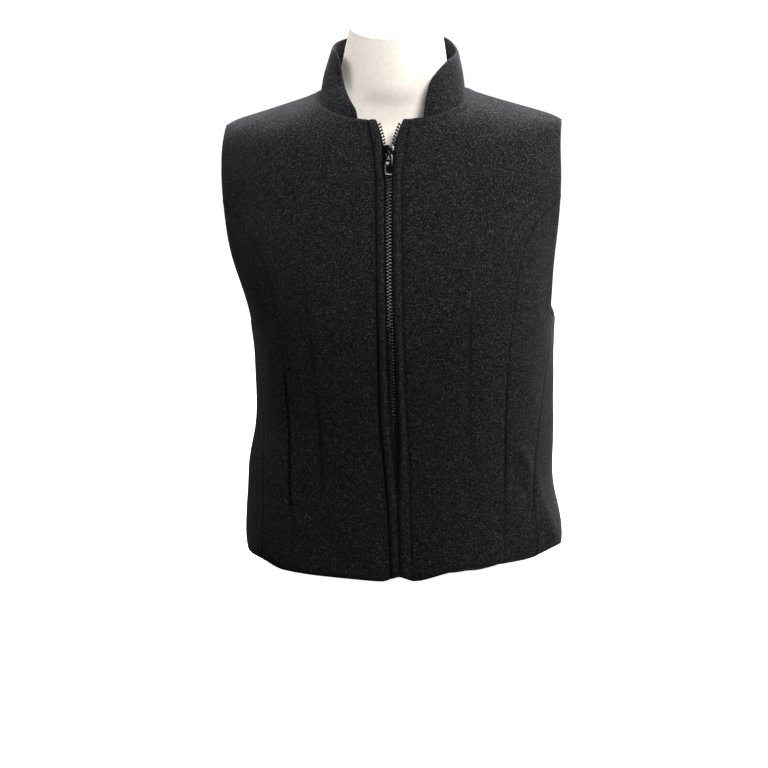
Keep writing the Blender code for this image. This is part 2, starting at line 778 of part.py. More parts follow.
def make_pull(material, frame):
    """The tab hangs from a round bar that turns under the slider's bridge. Its origin is on the hinge."""
    low = -TAB_LENGTH
    right = [(TAB_HALF_WIDTH - 1.2, low), (TAB_HALF_WIDTH, low + 1.2), (TAB_HALF_WIDTH, -1.5),
             (TAB_HALF_WIDTH - 1.2, BAR_RADIUS)]
    outline = right + [(-x, y) for x, y in reversed(right)]
    obj = new_object("zip_pull", *prism(outline, -TAB_HALF_THICK, TAB_HALF_THICK), material, frame)
    obj.location = (0, BRIDGE_CENTRE * MM, HINGE_OUT * MM)
    window = box(-TAB_WINDOW_HALF_WIDTH, TAB_WINDOW_HALF_WIDTH, -BAR_RADIUS - TAB_WINDOW_LENGTH, 2, -2, 2)
    tool = hidden_tool("tab_window", window, material, obj)
    panel = box(*TAB_PANEL, TAB_HALF_THICK - TAB_PANEL_DEPTH, TAB_HALF_THICK + 1)
    recess = hidden_tool("tab_recess", panel, material, obj)
    ring = [(BAR_RADIUS * math.cos(a), BAR_RADIUS * math.sin(a)) for a in np.radians(np.arange(22.5, 360, 45))]
    reach = TAB_WINDOW_HALF_WIDTH + 0.6
    points, faces = prism(ring, -reach, reach)
    bar = hidden_tool("tab_bar", ([(z, x, y) for x, y, z in points], faces), material, obj)
    combine(obj, tool, "DIFFERENCE")
    combine(obj, recess, "DIFFERENCE")
    combine(obj, bar, "UNION")
    return obj


def slider_frame(parent):
    """An empty on the cloth at the slider, its Y up the zip and its Z out of the cloth."""
    here = cloth(0.0, SLIDER_HEIGHT)
    upward = unit(plain_cloth(0.0, SLIDER_HEIGHT + 9) - plain_cloth(0.0, SLIDER_HEIGHT - 9))
    outward = unit(np.cross((1, 0, 0), upward))
    frame = bpy.data.objects.new("slider_frame", None)
    bpy.context.scene.collection.objects.link(frame)
    frame.parent = parent
    turned = Matrix((Vector((1, 0, 0)), Vector(upward), Vector(outward))).transposed().to_4x4()
    turned.translation = Vector(here) * MM
    frame.matrix_local = turned
    return frame


def form_ring(height):
    turn = np.arange(FORM_SIDES) * 360 / FORM_SIDES
    reach = radius(FORM, turn, np.full(FORM_SIDES, float(height)))
    ring = point(reach, turn, np.full(FORM_SIDES, float(height)))
    ring[:, 0] += NECK_SHIFT * np.clip((height - NECK_SHIFT_FROM) / (NECK_TOP - NECK_SHIFT_FROM), 0, 1)
    tilt = np.clip((height - NECK_TILT_FROM) / (NECK_TOP - NECK_TILT_FROM), 0, 1) * NECK_TILT
    ring[:, 2] += tilt * (ring[:, 1] - NECK_HOLE_CENTRE_Y)
    return ring


def hole_ring(height, tilt):
    angle = np.radians(np.arange(FORM_SIDES) * 360 / FORM_SIDES)
    x = NECK_SHIFT + NECK_HOLE_RADIUS * np.sin(angle)
    y = -NECK_HOLE_RADIUS * np.cos(angle)
    return np.stack([x, y + NECK_HOLE_CENTRE_Y, height + tilt * y], axis=-1)


def make_form(material, parent):
    """A closed torso from its flat base up to the tilted neck top, with a blind round hole in it."""
    rings = [form_ring(height) for height in FORM_HEIGHTS]
    rings.append(hole_ring(NECK_TOP, NECK_TILT))
    rings.append(hole_ring(NECK_HOLE_FLOOR, 0.0))
    faces = [list(range(FORM_SIDES - 1, -1, -1))]
    for i in range(len(rings) - 1):
        for j in range(FORM_SIDES):
            after = (j + 1) % FORM_SIDES
            low = i * FORM_SIDES
            faces.append([low + j, low + after, low + FORM_SIDES + after, low + FORM_SIDES + j])
    last = (len(rings) - 1) * FORM_SIDES
    faces.append([last + j for j in range(FORM_SIDES)])
    return new_object("dress_form", np.concatenate(rings), faces, material, parent)


for old in list(bpy.data.objects):
    bpy.data.objects.remove(old, do_unlink=True)

wool = new_material("wool", (0.02, 0.02, 0.022), 0.95)
tape = new_material("tape", (0.01, 0.01, 0.01), 0.8)
plastic = new_material("zip_plastic", (0.015, 0.015, 0.016), 0.35)
linen = new_material("linen", (0.85, 0.80, 0.70), 0.9)

root = bpy.data.objects.new("vest_on_form", None)
bpy.context.scene.collection.objects.link(root)

make_form(linen, root)

centre = front_panel()
beside = side_panel()
mouth = pocket_pull(centre[1][:, -1])
side_mouth = pocket_pull(beside[1][:, 0])
make_panel("front_left", centre, (0, HALF, 0 * mouth, mouth), wool, root)
make_panel("front_right", other_side(*centre), (0, HALF, mouth, 0 * mouth), wool, root)
make_panel("side_front_left", beside, (0, HALF, side_mouth, HALF), wool, root)
make_panel("side_front_right", other_side(*beside), (0, HALF, HALF, side_mouth), wool, root)
make_back(wool, root)
make_collar(wool, root)
make_facing("pocket_facing_left", 1, wool, root)
make_facing("pocket_facing_right", -1, wool, root)

straight_heights = np.linspace(TAPE_LOW, TAPE_STRAIGHT_TOP, TAPE_STRAIGHT_ROWS + 1)
spread_heights = np.linspace(TAPE_STRAIGHT_TOP, TAPE_TOP, TAPE_TOP_ROWS + 1)
tape_heights = np.concatenate([straight_heights, spread_heights[1:]])
tape_inner = np.maximum(TAPE_IN, by_height(FRONT_EDGE, "out", tape_heights) - TAPE_CLEAR)
tape_depth = chain_front(tape_heights) + CHAIN_THICK / 2 - TAPE_CLOTH / 2
tape_depth = np.maximum(tape_depth, CLOTH + TAPE_BACK_OFF)
teeth_heights = np.linspace(TEETH_LOW, TEETH_TOP, TEETH_ROWS + 1)
teeth_inner = by_height(FRONT_EDGE, "out", teeth_heights) - TAPE_CLEAR - TEETH_CLEAR - TEETH_WIDTH
for side, word in ((1, "left"), (-1, "right")):
    make_zip_strip("zip_tape_" + word, side, tape_inner, TAPE_WIDTH, tape_heights, tape_depth, TAPE_CLOTH,
                   tape, root)
    make_zip_strip("zip_teeth_" + word, side, teeth_inner, TEETH_WIDTH, teeth_heights,
                   chain_front(teeth_heights), CHAIN_THICK, plastic, root)
chain_heights = np.linspace(CHAIN_LOW, CHAIN_TOP, CHAIN_ROWS + 1)
edge = np.full(CHAIN_ROWS + 1, CHAIN_HALF_WIDTH)
new_wall("zip_chain", *strip(-edge, edge, chain_heights, chain_front(chain_heights), CHAIN_THICK), plastic, root)

frame = slider_frame(root)
make_slider(plastic, frame)
make_pull(plastic, frame)
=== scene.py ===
# %% [markdown]
# # A charcoal wool vest on a dress form
# The solids of this vest are already built at their real size. This lesson dresses them: each cloth
# panel becomes a soft shell with its seams and creases, the zip gets its teeth, and every piece gets a
# finish. The solids are loaded first, because every new piece sits exactly where its solid is.

# %% Load the solids
import json
import math
from collections import namedtuple

import bpy
import numpy as np
from mathutils import Matrix, Vector
from mathutils.kdtree import KDTree

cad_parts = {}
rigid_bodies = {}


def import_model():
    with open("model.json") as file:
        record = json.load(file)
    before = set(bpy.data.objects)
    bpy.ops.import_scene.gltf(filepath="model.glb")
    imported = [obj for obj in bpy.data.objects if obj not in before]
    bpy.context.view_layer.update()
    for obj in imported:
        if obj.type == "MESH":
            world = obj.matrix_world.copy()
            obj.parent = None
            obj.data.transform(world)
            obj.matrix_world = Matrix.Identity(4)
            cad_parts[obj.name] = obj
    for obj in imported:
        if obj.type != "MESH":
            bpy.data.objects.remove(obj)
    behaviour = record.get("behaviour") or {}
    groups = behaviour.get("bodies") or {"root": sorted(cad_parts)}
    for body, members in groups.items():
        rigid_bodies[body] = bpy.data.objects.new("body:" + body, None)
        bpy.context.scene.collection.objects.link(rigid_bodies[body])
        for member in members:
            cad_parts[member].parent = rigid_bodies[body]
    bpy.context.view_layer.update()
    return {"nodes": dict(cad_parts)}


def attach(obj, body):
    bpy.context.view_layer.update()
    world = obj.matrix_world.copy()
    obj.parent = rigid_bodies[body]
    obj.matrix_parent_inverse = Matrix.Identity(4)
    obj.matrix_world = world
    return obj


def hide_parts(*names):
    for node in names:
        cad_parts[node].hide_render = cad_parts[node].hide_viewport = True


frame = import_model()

MM = 0.001

# %% [markdown]
# ## The camera
# The photograph was taken from a little above the waist and almost straight in front. A camera could be
# pushed around until the picture looks right. Here its angles were worked out from points of the vest
# that are easy to find in the picture, so the rendered vest lands on the photographed one.

# %% Camera
AZIMUTH = math.radians(3.05)
ELEVATION = math.radians(9.0)
ROLL = math.radians(1.28)
DISTANCE = 3.0
LOOK_AT = Vector((0.0, 0.0, 0.320))
LOOK_AT_PIXEL = (398.2, 297.6)
METRES_PER_PIXEL = 0.0011701
PICTURE = 768
SENSOR = 36.0

towards = Vector((math.sin(AZIMUTH) * math.cos(ELEVATION), -math.cos(AZIMUTH) * math.cos(ELEVATION),
                  math.sin(ELEVATION)))
level_right = Vector((math.cos(AZIMUTH), math.sin(AZIMUTH), 0.0))
level_up = towards.cross(level_right)
right = level_right * math.cos(ROLL) - level_up * math.sin(ROLL)
up = level_right * math.sin(ROLL) + level_up * math.cos(ROLL)
stand = Matrix((right, up, towards)).transposed().to_4x4()
stand.translation = LOOK_AT + towards * DISTANCE

bpy.ops.object.camera_add()
camera = bpy.context.object
camera.name = "studio_camera"
camera.matrix_world = stand
camera.data.sensor_width = SENSOR
camera.data.lens = SENSOR * DISTANCE / (METRES_PER_PIXEL * PICTURE)
camera.data.shift_x = (PICTURE / 2 - LOOK_AT_PIXEL[0]) / PICTURE
camera.data.shift_y = -(PICTURE / 2 - LOOK_AT_PIXEL[1]) / PICTURE
bpy.context.scene.camera = camera
print("camera at", [round(v, 3) for v in camera.location], "lens", round(camera.data.lens, 1))

# %% [markdown]
# ## Selecting and applying
# Blender's operators act on all that is selected, so a few small helpers keep the work on one object. A
# modifier is applied as soon as it has done its job, so that the next step sees the real mesh.

# %% Helpers for one object at a time
def only(piece):
    """Deselects everything, then selects one object and makes it active."""
    for other in bpy.context.view_layer.objects:
        other.select_set(False)
    piece.select_set(True)
    bpy.context.view_layer.objects.active = piece


def apply_modifiers(piece):
    only(piece)
    for modifier in list(piece.modifiers):
        bpy.ops.object.modifier_apply(modifier=modifier.name)


def edit_all(piece, operator, **settings):
    """Runs one operator of edit mode on the whole mesh of a piece."""
    only(piece)
    bpy.ops.object.mode_set(mode="EDIT")
    bpy.ops.mesh.select_all(action="SELECT")
    operator(**settings)
    bpy.ops.object.mode_set(mode="OBJECT")


def pick_none(piece, kind):
    """Clears the selection in a mesh, so that single faces or points can be picked."""
    only(piece)
    bpy.ops.object.mode_set(mode="EDIT")
    bpy.ops.mesh.select_mode(type=kind)
    bpy.ops.mesh.select_all(action="DESELECT")
    bpy.ops.object.mode_set(mode="OBJECT")


def triangles(piece):
    return sum(len(face.vertices) - 2 for face in piece.data.polygons)

# %% [markdown]
# ## Building finishes from nodes
# A finish is a Principled shader with a few textures in front of it. These helpers add a node, set its
# plain values and join sockets, so that each finish below reads as a short list.

# %% Helpers for finishes
def new_finish(name):
    material = bpy.data.materials.new(name)
    material.use_nodes = True
    return material, material.node_tree, material.node_tree.nodes["Principled BSDF"]


def set_inputs(node, values):
    for name, value in values.items():
        node.inputs[name].default_value = value


def add_node(tree, kind, values=None, **settings):
    """A new node with its settings, and the values of its unlinked inputs."""
    made = tree.nodes.new(kind)
    for name, value in settings.items():
        setattr(made, name, value)
    set_inputs(made, values or {})
    return made


def add_noise(tree, place, scale, detail=2.0, roughness=0.5, distortion=0.0):
    made = add_node(tree, "ShaderNodeTexNoise", {"Scale": scale, "Detail": detail, "Roughness": roughness,
                                                 "Distortion": distortion})
    tree.links.new(place, made.inputs["Vector"])
    return made.outputs["Fac"]


def add_ramp(tree, value, stops):
    """A colour ramp through stops of (position, grey or colour)."""
    ramp = add_node(tree, "ShaderNodeValToRGB")
    elements = ramp.color_ramp.elements
    while len(elements) < len(stops):
        elements.new(0.5)
    for element, (position, colour) in zip(elements, stops):
        element.position = position
        if np.isscalar(colour):
            colour = (colour, colour, colour)
        element.color = (*colour, 1.0)
    tree.links.new(value, ramp.inputs["Fac"])
    return ramp.outputs["Color"]


def add_math(tree, operation, first, second):
    made = add_node(tree, "ShaderNodeMath", operation=operation)
    for socket, value in zip(made.inputs, (first, second)):
        if np.isscalar(value):
            socket.default_value = value
        else:
            tree.links.new(value, socket)
    return made.outputs["Value"]


def add_mix(tree, factor, first, second, blend="MIX"):
    """A colour mix; factor, first and second are sockets or plain values."""
    made = add_node(tree, "ShaderNodeMix", data_type="RGBA", blend_type=blend)
    for socket, value in ((made.inputs[0], factor), (made.inputs[6], first), (made.inputs[7], second)):
        if np.isscalar(value):
            socket.default_value = value
        elif isinstance(value, tuple):
            socket.default_value = (*value, 1.0)
        else:
            tree.links.new(value, socket)
    return made.outputs[2]


def add_bump(tree, shader, height, strength, distance):
    bump = add_node(tree, "ShaderNodeBump", {"Strength": strength, "Distance": distance})
    tree.links.new(height, bump.inputs["Height"])
    tree.links.new(bump.outputs["Normal"], shader.inputs["Normal"])

# %% [markdown]
# ## Melton wool
# Melton is woven, then felted until the weave disappears under a short nap. Its charcoal is a blend of
# black fibres and a few pale ones, so close up it is salt and pepper. Four noises make it: a coarse one
# for the blend, a fine one for single tufts, a wide one that clouds the tone, and a warped one whose
# narrow middle band draws thin pale hairs. The nap is the shader's sheen. The shade that falls in seams,
# grooves, pocket slits and beside the zip is painted into the colour: the finish reads a painted shade
# number that every panel carries, and darkens the cloth towards black by it.

# %% Wool finish
def wool_finish():
    material, tree, shader = new_finish("charcoal_wool")
    place = add_node(tree, "ShaderNodeTexCoord").outputs["Object"]
    blend = add_noise(tree, place, 620.0, detail=2.5, roughness=0.62)
    tufts = add_noise(tree, place, 1500.0, detail=2.0, roughness=0.6)
    cloudy = add_noise(tree, place, 190.0, detail=3.0, roughness=0.6)
    hairs = add_noise(tree, place, 330.0, detail=1.0, distortion=2.2)
    fibres = ((0.36, 0.0022), (0.47, 0.0054), (0.56, 0.0130), (0.64, 0.031), (0.74, 0.076))
    base = add_ramp(tree, blend, fibres)
    grain = add_ramp(tree, tufts, ((0.34, 0.45), (0.50, 0.92), (0.66, 2.0)))
    mottled = add_ramp(tree, cloudy, ((0.30, (0.72, 0.68, 0.74)), (0.70, (1.28, 1.22, 1.36))))
    colour = add_mix(tree, 1.0, base, grain, "MULTIPLY")
    colour = add_mix(tree, 1.0, colour, mottled, "MULTIPLY")
    off_middle = add_math(tree, "ABSOLUTE", add_math(tree, "SUBTRACT", hairs, 0.5), 0.0)
    drawn = add_ramp(tree, off_middle, ((0.0, 0.5), (0.012, 0.0)))
    colour = add_mix(tree, drawn, colour, (0.13, 0.125, 0.13))
    # painted shade: darkens the wool towards black where seams, grooves, pocket slits and the zip's edges lie
    # in shade
    painted_shade = add_node(tree, "ShaderNodeAttribute", attribute_name="painted_shade").outputs["Fac"]
    colour = add_mix(tree, painted_shade, colour, (0.0014, 0.0013, 0.0015))
    tree.links.new(colour, shader.inputs["Base Color"])
    set_inputs(shader, {"Roughness": 0.94, "Specular IOR Level": 0.02, "Sheen Weight": 0.10,
                        "Sheen Roughness": 0.55, "Sheen Tint": (0.80, 0.80, 0.86, 1.0)})
    coarse = add_math(tree, "MULTIPLY", blend, 0.6)
    fine = add_math(tree, "MULTIPLY", tufts, 0.4)
    add_bump(tree, shader, add_math(tree, "ADD", coarse, fine), 0.55, 0.0007)
    return material


wool = wool_finish()
print("finish", wool.name)

# %% [markdown]
# ## Cutting the shells from the solids
# A vest panel's solid is a wall with an outside, an inside and a rim. For a soft shell only the outside
# is needed: it is smoothed by subdivision, creased, and then given its thickness again with rounded
# edges. The outside is found as by hand: click the face nearest a point well outside the vest, spread
# the selection over all flat neighbours until it meets the sharp rim, and delete the rest.

# %% Copies of the solids
MERGE = 0.01


def copy_of(node, name):
    """A copy of a solid with its loose triangles merged."""
    piece = bpy.data.objects.new(name, frame["nodes"][node].data.copy())
    piece.data.name = name
    bpy.context.scene.collection.objects.link(piece)
    only(piece)
    bpy.ops.mesh.customdata_custom_splitnormals_clear()
    edit_all(piece, bpy.ops.mesh.remove_doubles, threshold=MERGE * MM)
    piece.data.materials.clear()
    return piece


def join_quads(piece, angle):
    """Joins pairs of triangles back into the four-sided faces of the solid's grid."""
    edit_all(piece, bpy.ops.mesh.tris_convert_to_quads, face_threshold=angle, shape_threshold=angle,
             topology_influence=2.0)


def read_points(piece, attribute="co"):
    values = np.empty(3 * len(piece.data.vertices))
    piece.data.vertices.foreach_get(attribute, values)
    return values.reshape(-1, 3)


def write_points(piece, points):
    piece.data.vertices.foreach_set("co", points.ravel())
    piece.data.update()

# %% The outside of a wall
SKIN_QUADS = math.radians(130)
RIM_ANGLE = math.radians(48)
CORNER_TURN = math.radians(24)


def keep_outside(piece, seen_from):
    """Deletes all but the smooth skin that is nearest to a point, up to its sharp rim."""
    pick_none(piece, "FACE")
    nearest = min(piece.data.polygons, key=lambda face: (face.center - seen_from).length)
    nearest.select = True
    bpy.ops.object.mode_set(mode="EDIT")
    bpy.ops.mesh.faces_select_linked_flat(sharpness=RIM_ANGLE)
    bpy.ops.mesh.select_all(action="INVERT")
    bpy.ops.mesh.delete(type="FACE")
    bpy.ops.object.mode_set(mode="OBJECT")


def open_edges(piece):
    """Pairs of points along the open edge of a skin."""
    mesh = piece.data
    uses = np.zeros(len(mesh.edges), int)
    for loop in mesh.loops:
        uses[loop.edge_index] += 1
    return np.array([edge.vertices[:] for edge in mesh.edges if uses[edge.index] == 1])


def hold_corners(piece):
    """Creases the points where the open edge turns sharply, so that smoothing keeps those corners."""
    points = read_points(piece)
    ends = {}
    for first, second in open_edges(piece):
        ends.setdefault(first, []).append(second)
        ends.setdefault(second, []).append(first)
    corners = []
    for middle, (first, second) in ends.items():
        before = points[middle] - points[first]
        after = points[second] - points[middle]
        cosine = before @ after / np.linalg.norm(before) / np.linalg.norm(after)
        if cosine < math.cos(CORNER_TURN):
            corners.append(middle)
    pick_none(piece, "VERT")
    for corner in corners:
        piece.data.vertices[int(corner)].select = True
    bpy.ops.object.mode_set(mode="EDIT")
    bpy.ops.transform.vert_crease(value=1.0)
    bpy.ops.object.mode_set(mode="OBJECT")


def refine(piece, levels):
    smooth = piece.modifiers.new("smooth", "SUBSURF")
    smooth.levels = levels
    smooth.render_levels = levels
    smooth.boundary_smooth = "PRESERVE_CORNERS"
    apply_modifiers(piece)


def skin_of(node, name, seen_from, levels):
    """The smooth outside of a wall, with its corners kept."""
    piece = copy_of(node, name)
    keep_outside(piece, Vector(seen_from))
    join_quads(piece, SKIN_QUADS)
    hold_corners(piece)
    refine(piece, levels)
    return piece

# %% Thickness and rounded edges
RIM_TURN = 55.0


def soften(piece, rounding, sharper_than):
    """Rounds the edges of a piece that turn by more than an angle in degrees."""
    rounded = piece.modifiers.new("rounded", "BEVEL")
    rounded.width = rounding * MM
    rounded.segments = 2
    rounded.limit_method = "ANGLE"
    rounded.angle_limit = math.radians(sharper_than)
    apply_modifiers(piece)


def thicken(piece, thickness, rounding):
    """Gives a skin its thickness inwards, with a rounded rim."""
    wall = piece.modifiers.new("wall", "SOLIDIFY")
    wall.thickness = thickness * MM
    wall.offset = -1.0
    wall.use_even_offset = False
    apply_modifiers(piece)
    soften(piece, rounding, RIM_TURN)
    bpy.ops.object.shade_smooth()

# %% [markdown]
# ## Creases, rolled edges and a stitched groove
# Wool this thick does not crumple: it hangs in a few long soft folds, rolls in at each seam, and sinks
# where the zip is stitched down. A cloth simulation would lose the sharp seams, so the rises and troughs
# are placed one by one. Each one runs between two places, measured in millimetres round the body from the
# zip and up from the floor. The narrowest are sewn lines, and get painted shade along them as well. The
# folds on the sides and the back are guessed in the same sizes.

# %% Places on the cloth
Section = namedtuple("Section", "half_width front back squareness")
WAIST = Section(173.0, 125.0, 96.0, 2.3)


def round_the_waist():
    """Turns about the vertical axis and how far round the waist each one lies, in millimetres."""
    turns = np.linspace(-180, 180, 721)
    angle = np.radians(turns)
    deep = np.where(np.cos(angle) > 0, WAIST.front, WAIST.back)
    across = np.abs(np.sin(angle)) / WAIST.half_width
    along = np.abs(np.cos(angle)) / deep
    reach = (across**WAIST.squareness + along**WAIST.squareness) ** (-1 / WAIST.squareness)
    outline = np.stack([reach * np.sin(angle), -reach * np.cos(angle)], axis=-1)
    far = np.concatenate([[0], np.cumsum(np.linalg.norm(np.diff(outline, axis=0), axis=1))])
    return turns, far - np.interp(0.0, turns, far)


TURNS, AROUND = round_the_waist()


def cloth_places(points):
    """How far round from the zip and how high each point is, in millimetres."""
    turn = np.degrees(np.arctan2(points[:, 0], -points[:, 1]))
    return np.interp(turn, TURNS, AROUND), points[:, 2] / MM


print("waist", round(2 * AROUND[-1]), "mm round")

# %% Creases
Crease = namedtuple("Crease", "around_top height_top around_low height_low half_width rise")
SEWN_HALF_WIDTH = 3.0
CREASE_FADE = 0.3
CREASES = (
    Crease(-103, 372, -95, 300, 2.2, -0.55),
    Crease(-95, 305, -91, 240, 2.4, -0.80),
    Crease(-91, 250, -92, 92, 2.4, -0.75),
    Crease(-80, 400, -72, 60, 16.0, 0.9),
    Crease(-112, 330, -104, 60, 10.0, 0.7),
    Crease(86, 335, 85, 232, 2.2, -0.55),
    Crease(85, 240, 90, 150, 2.2, -0.35),
    Crease(100, 360, 104, 80, 15.0, 0.8),
    Crease(70, 330, 66, 90, 14.0, 0.6),
    Crease(-40, 470, -36, 330, 22.0, -0.9),
    Crease(44, 480, 40, 350, 24.0, -0.8),
    Crease(-165, 400, -120, 350, 15.0, -1.0),
    Crease(168, 395, 126, 345, 14.0, -0.8),
    Crease(-150, 300, -165, 210, 11.0, 0.9),
    Crease(150, 270, 176, 190, 12.0, 1.1),
    Crease(142, 172, 186, 94, 7.0, 2.3),
    Crease(172, 122, 202, 16, 7.0, 2.2),
    Crease(130, 150, 170, 76, 8.0, -1.3),
    Crease(156, 100, 184, 14, 8.0, -1.1),
    Crease(-215, 270, -205, 120, 15.0, 1.4),
    Crease(-250, 280, -238, 150, 12.0, -1.3),
    Crease(222, 265, 214, 110, 14.0, 1.3),
    Crease(256, 280, 246, 170, 12.0, -1.2),
    Crease(-340, 306, -286, 176, 11.0, 3.0),
    Crease(-372, 330, -318, 186, 9.0, -2.2),
    Crease(338, 316, 292, 196, 12.0, 2.7),
    Crease(374, 300, 340, 170, 9.0, -2.0),
    Crease(-452, 262, -372, 214, 8.0, 2.4),
    Crease(452, 240, 366, 220, 7.5, 2.1),
    Crease(-446, 232, -380, 190, 8.0, -1.6),
    Crease(-430, 470, -360, 430, 14.0, -1.9),
    Crease(434, 462, 352, 440, 13.0, -1.7),
)
print("creases", len(CREASES))

# %% How far the cloth rises
def crease_rise(around, height):
    """Sum of all creases at the places, and the painted shade along the sewn ones."""
    total = np.zeros(len(around))
    painted_shade = np.zeros(len(around))
    for crease in CREASES:
        low = np.array([crease.around_low, crease.height_low], float)
        run = np.array([crease.around_top, crease.height_top], float) - low
        length = np.linalg.norm(run)
        along = ((around - low[0]) * run[0] + (height - low[1]) * run[1]) / length
        across = ((around - low[0]) * run[1] - (height - low[1]) * run[0]) / length
        fade = np.clip(np.minimum(along, length - along) / (CREASE_FADE * length), 0, 1)
        shape = np.exp(-((across / crease.half_width) ** 2)) * fade**2 * (3 - 2 * fade)
        total += crease.rise * shape
        # sewn creases get painted shade along their line
        if crease.half_width < SEWN_HALF_WIDTH:
            painted_shade = np.maximum(painted_shade, abs(crease.rise) * shape)
    return total, painted_shade


Ripple = namedtuple("Ripple", "x y z start")
RIPPLES = (Ripple(83, 31, 57, 0.3), Ripple(-47, 95, 71, 1.1), Ripple(139, -64, 101, 2.2),
           Ripple(61, 122, -149, 0.7), Ripple(170, 90, 43, 2.9))


def uneven(points):
    """The slight unevenness of felted cloth, a sum of a few crossing ripples."""
    total = np.zeros(len(points))
    for ripple in RIPPLES:
        total += np.sin(points @ np.array(ripple[:3], float) + ripple.start)
    return total / len(RIPPLES)


print("ripples", len(RIPPLES))

# %% The zip's line and the grooves beside it
def strip_line(node):
    """Middle points of a thin solid strip and the way out of the cloth at each, from its corner rows."""
    corners = np.empty(3 * len(frame["nodes"][node].data.vertices))
    frame["nodes"][node].data.vertices.foreach_get("co", corners)
    corners = np.unique(corners.reshape(-1, 3).round(6), axis=0)
    rows = corners[np.argsort(corners[:, 2])].reshape(-1, 4, 3)
    middles = rows.mean(axis=1)
    outward = []
    for row in rows:
        by_depth = row[np.argsort(row[:, 1])]
        outward.append(by_depth[:2].mean(axis=0) - by_depth[2:].mean(axis=0))
    outward = np.array(outward)
    outward[:, 0] = 0.0
    return middles, outward / np.linalg.norm(outward, axis=1, keepdims=True)


ZIP_LINE = strip_line("zip_chain")[0]
Groove = namedtuple("Groove", "height out")
GROOVES = {
    "right": (Groove(20, 9.5), Groove(80, 10.5), Groove(130, 13.0), Groove(190, 16.0), Groove(230, 15.0),
              Groove(305, 14.0), Groove(471, 14.0), Groove(505, 17.0), Groove(530, 22.5)),
    "left": (Groove(20, 15.0), Groove(110, 15.0), Groove(200, 15.5), Groove(471, 15.5), Groove(530, 23.0)),
}


def zip_x(height):
    """Where the zip runs at a height, in millimetres."""
    return np.interp(height, ZIP_LINE[:, 2] / MM, ZIP_LINE[:, 0] / MM)


def groove_out(side, height):
    """Distance of a stitched groove from the zip's line."""
    return np.interp(height, [row.height for row in GROOVES[side]], [row.out for row in GROOVES[side]])


print("zip line", len(ZIP_LINE), "rows")

# %% [markdown]
# ## Edges and seams
# An edge of a panel is sewn to a neighbour, free, part of a pocket's mouth, or beside the zip, and each
# kind rolls in and gets its own painted shade. The kinds could be painted by hand. Here each edge point gets
# its kind from what lies near it, and where two panels are sewn together both edges move to the line
# halfway between them, so that no light comes through the seam. The row of a kind says how far it rolls
# in, how dark its painted shade is, how far in that shade reaches, and how high the ridge behind it stands.

# %% Kinds of edges
def edge_tree(indices, points):
    tree = KDTree(len(indices))
    for index in indices:
        tree.insert(points[index], int(index))
    tree.balance()
    return tree


SEAM_REACH = 2.6 * MM
COLLAR = "collar_cloth"
COLLAR_REACH = 7.0 * MM
COLLAR_SIDE = 46.0
COLLAR_FOOT = 541.0
SIDE_REACH = 13.0 * MM
Edge = namedtuple("Edge", "roll dark wide ridge")
# dark and wide give the painted shade along each kind of edge and how far in it reaches
SEAM = Edge(0.5, 0.5, 1.4, 0.0)
NECK = Edge(0.8, 0.7, 1.4, 0.9)
FREE = Edge(1.0, 0.0, 1.4, 0.0)
# pocket mouths: painted shade in the open slits
MOUTHS = {
    "front_right_cloth": Edge(-0.9, 0.8, 1.4, 0.0),
    "side_front_right_cloth": Edge(1.3, 0.95, 1.4, 0.0),
    "front_left_cloth": Edge(0.4, 0.4, 1.4, 0.0),
    "side_front_left_cloth": Edge(0.9, 0.5, 1.4, 0.0),
}
# beside the zip: painted shade in the gap between the fronts and the teeth
BESIDE_ZIP = {
    "front_right_cloth": Edge(1.0, 0.2, 1.4, 0.3),
    "front_left_cloth": Edge(1.3, 0.92, 2.6, 1.0),
}
ZIP_EDGE_OUT = 15.0
HEM_TOP = 20.0
# heights over which the painted shade beside the zip narrows
DARK_HEIGHTS = (110.0, 290.0)
DARK_WIDER = (1.8, 0.75)
MOUTH_HEIGHTS = (97.0, 253.0)
MOUTH_OUT = (112.0, 136.0)
print("edges of their own", len(MOUTHS), "at the pockets", len(BESIDE_ZIP), "beside the zip")

# %% Closing the seams
def beside_zip(name, height):
    """The edge along the zip, whose painted shade reaches further in towards the hem, where the zip lies deep
    between the fronts.
    """
    edge = BESIDE_ZIP[name]
    return edge._replace(wide=edge.wide * np.interp(height, DARK_HEIGHTS, DARK_WIDER))


def close_seams(pieces):
    """Brings the edges of neighbouring skins together, and returns the kind of edge at each edge point."""
    rims = {piece.name: np.unique(open_edges(piece)) for piece in pieces}
    places = {piece.name: read_points(piece) for piece in pieces}
    trees = {name: edge_tree(rims[name], places[name]) for name in rims}
    edges = {}
    for piece in pieces:
        moved = places[piece.name].copy()
        edges[piece.name] = {}
        for index in rims[piece.name]:
            here = places[piece.name][index]
            found = [trees[name].find(here) for name in trees if name not in (piece.name, COLLAR)]
            there, _, gap = min(found, key=lambda hit: hit[2])
            x, _, z = np.abs(here) / MM
            kind = SEAM if gap < SEAM_REACH else FREE
            if piece.name == COLLAR:
                at_side = x > COLLAR_SIDE and gap < SIDE_REACH
                at_front = z < COLLAR_FOOT and gap < COLLAR_REACH
                kind = SEAM if at_side or at_front else FREE
            elif MOUTH_HEIGHTS[0] < z < MOUTH_HEIGHTS[1] and MOUTH_OUT[0] < x < MOUTH_OUT[1]:
                kind = MOUTHS[piece.name]
            elif kind == SEAM:
                moved[index] = 0.5 * (here + np.array(there))
            if piece.name in BESIDE_ZIP and abs(here[0] / MM - zip_x(z)) < ZIP_EDGE_OUT and z > HEM_TOP:
                kind = beside_zip(piece.name, z)
            elif piece.name != COLLAR and trees[COLLAR].find(here)[2] < COLLAR_REACH:
                kind = NECK
            edges[piece.name][index] = kind
        write_points(piece, moved)
    return edges


print("seams close over gaps of up to", SEAM_REACH / MM, "mm")

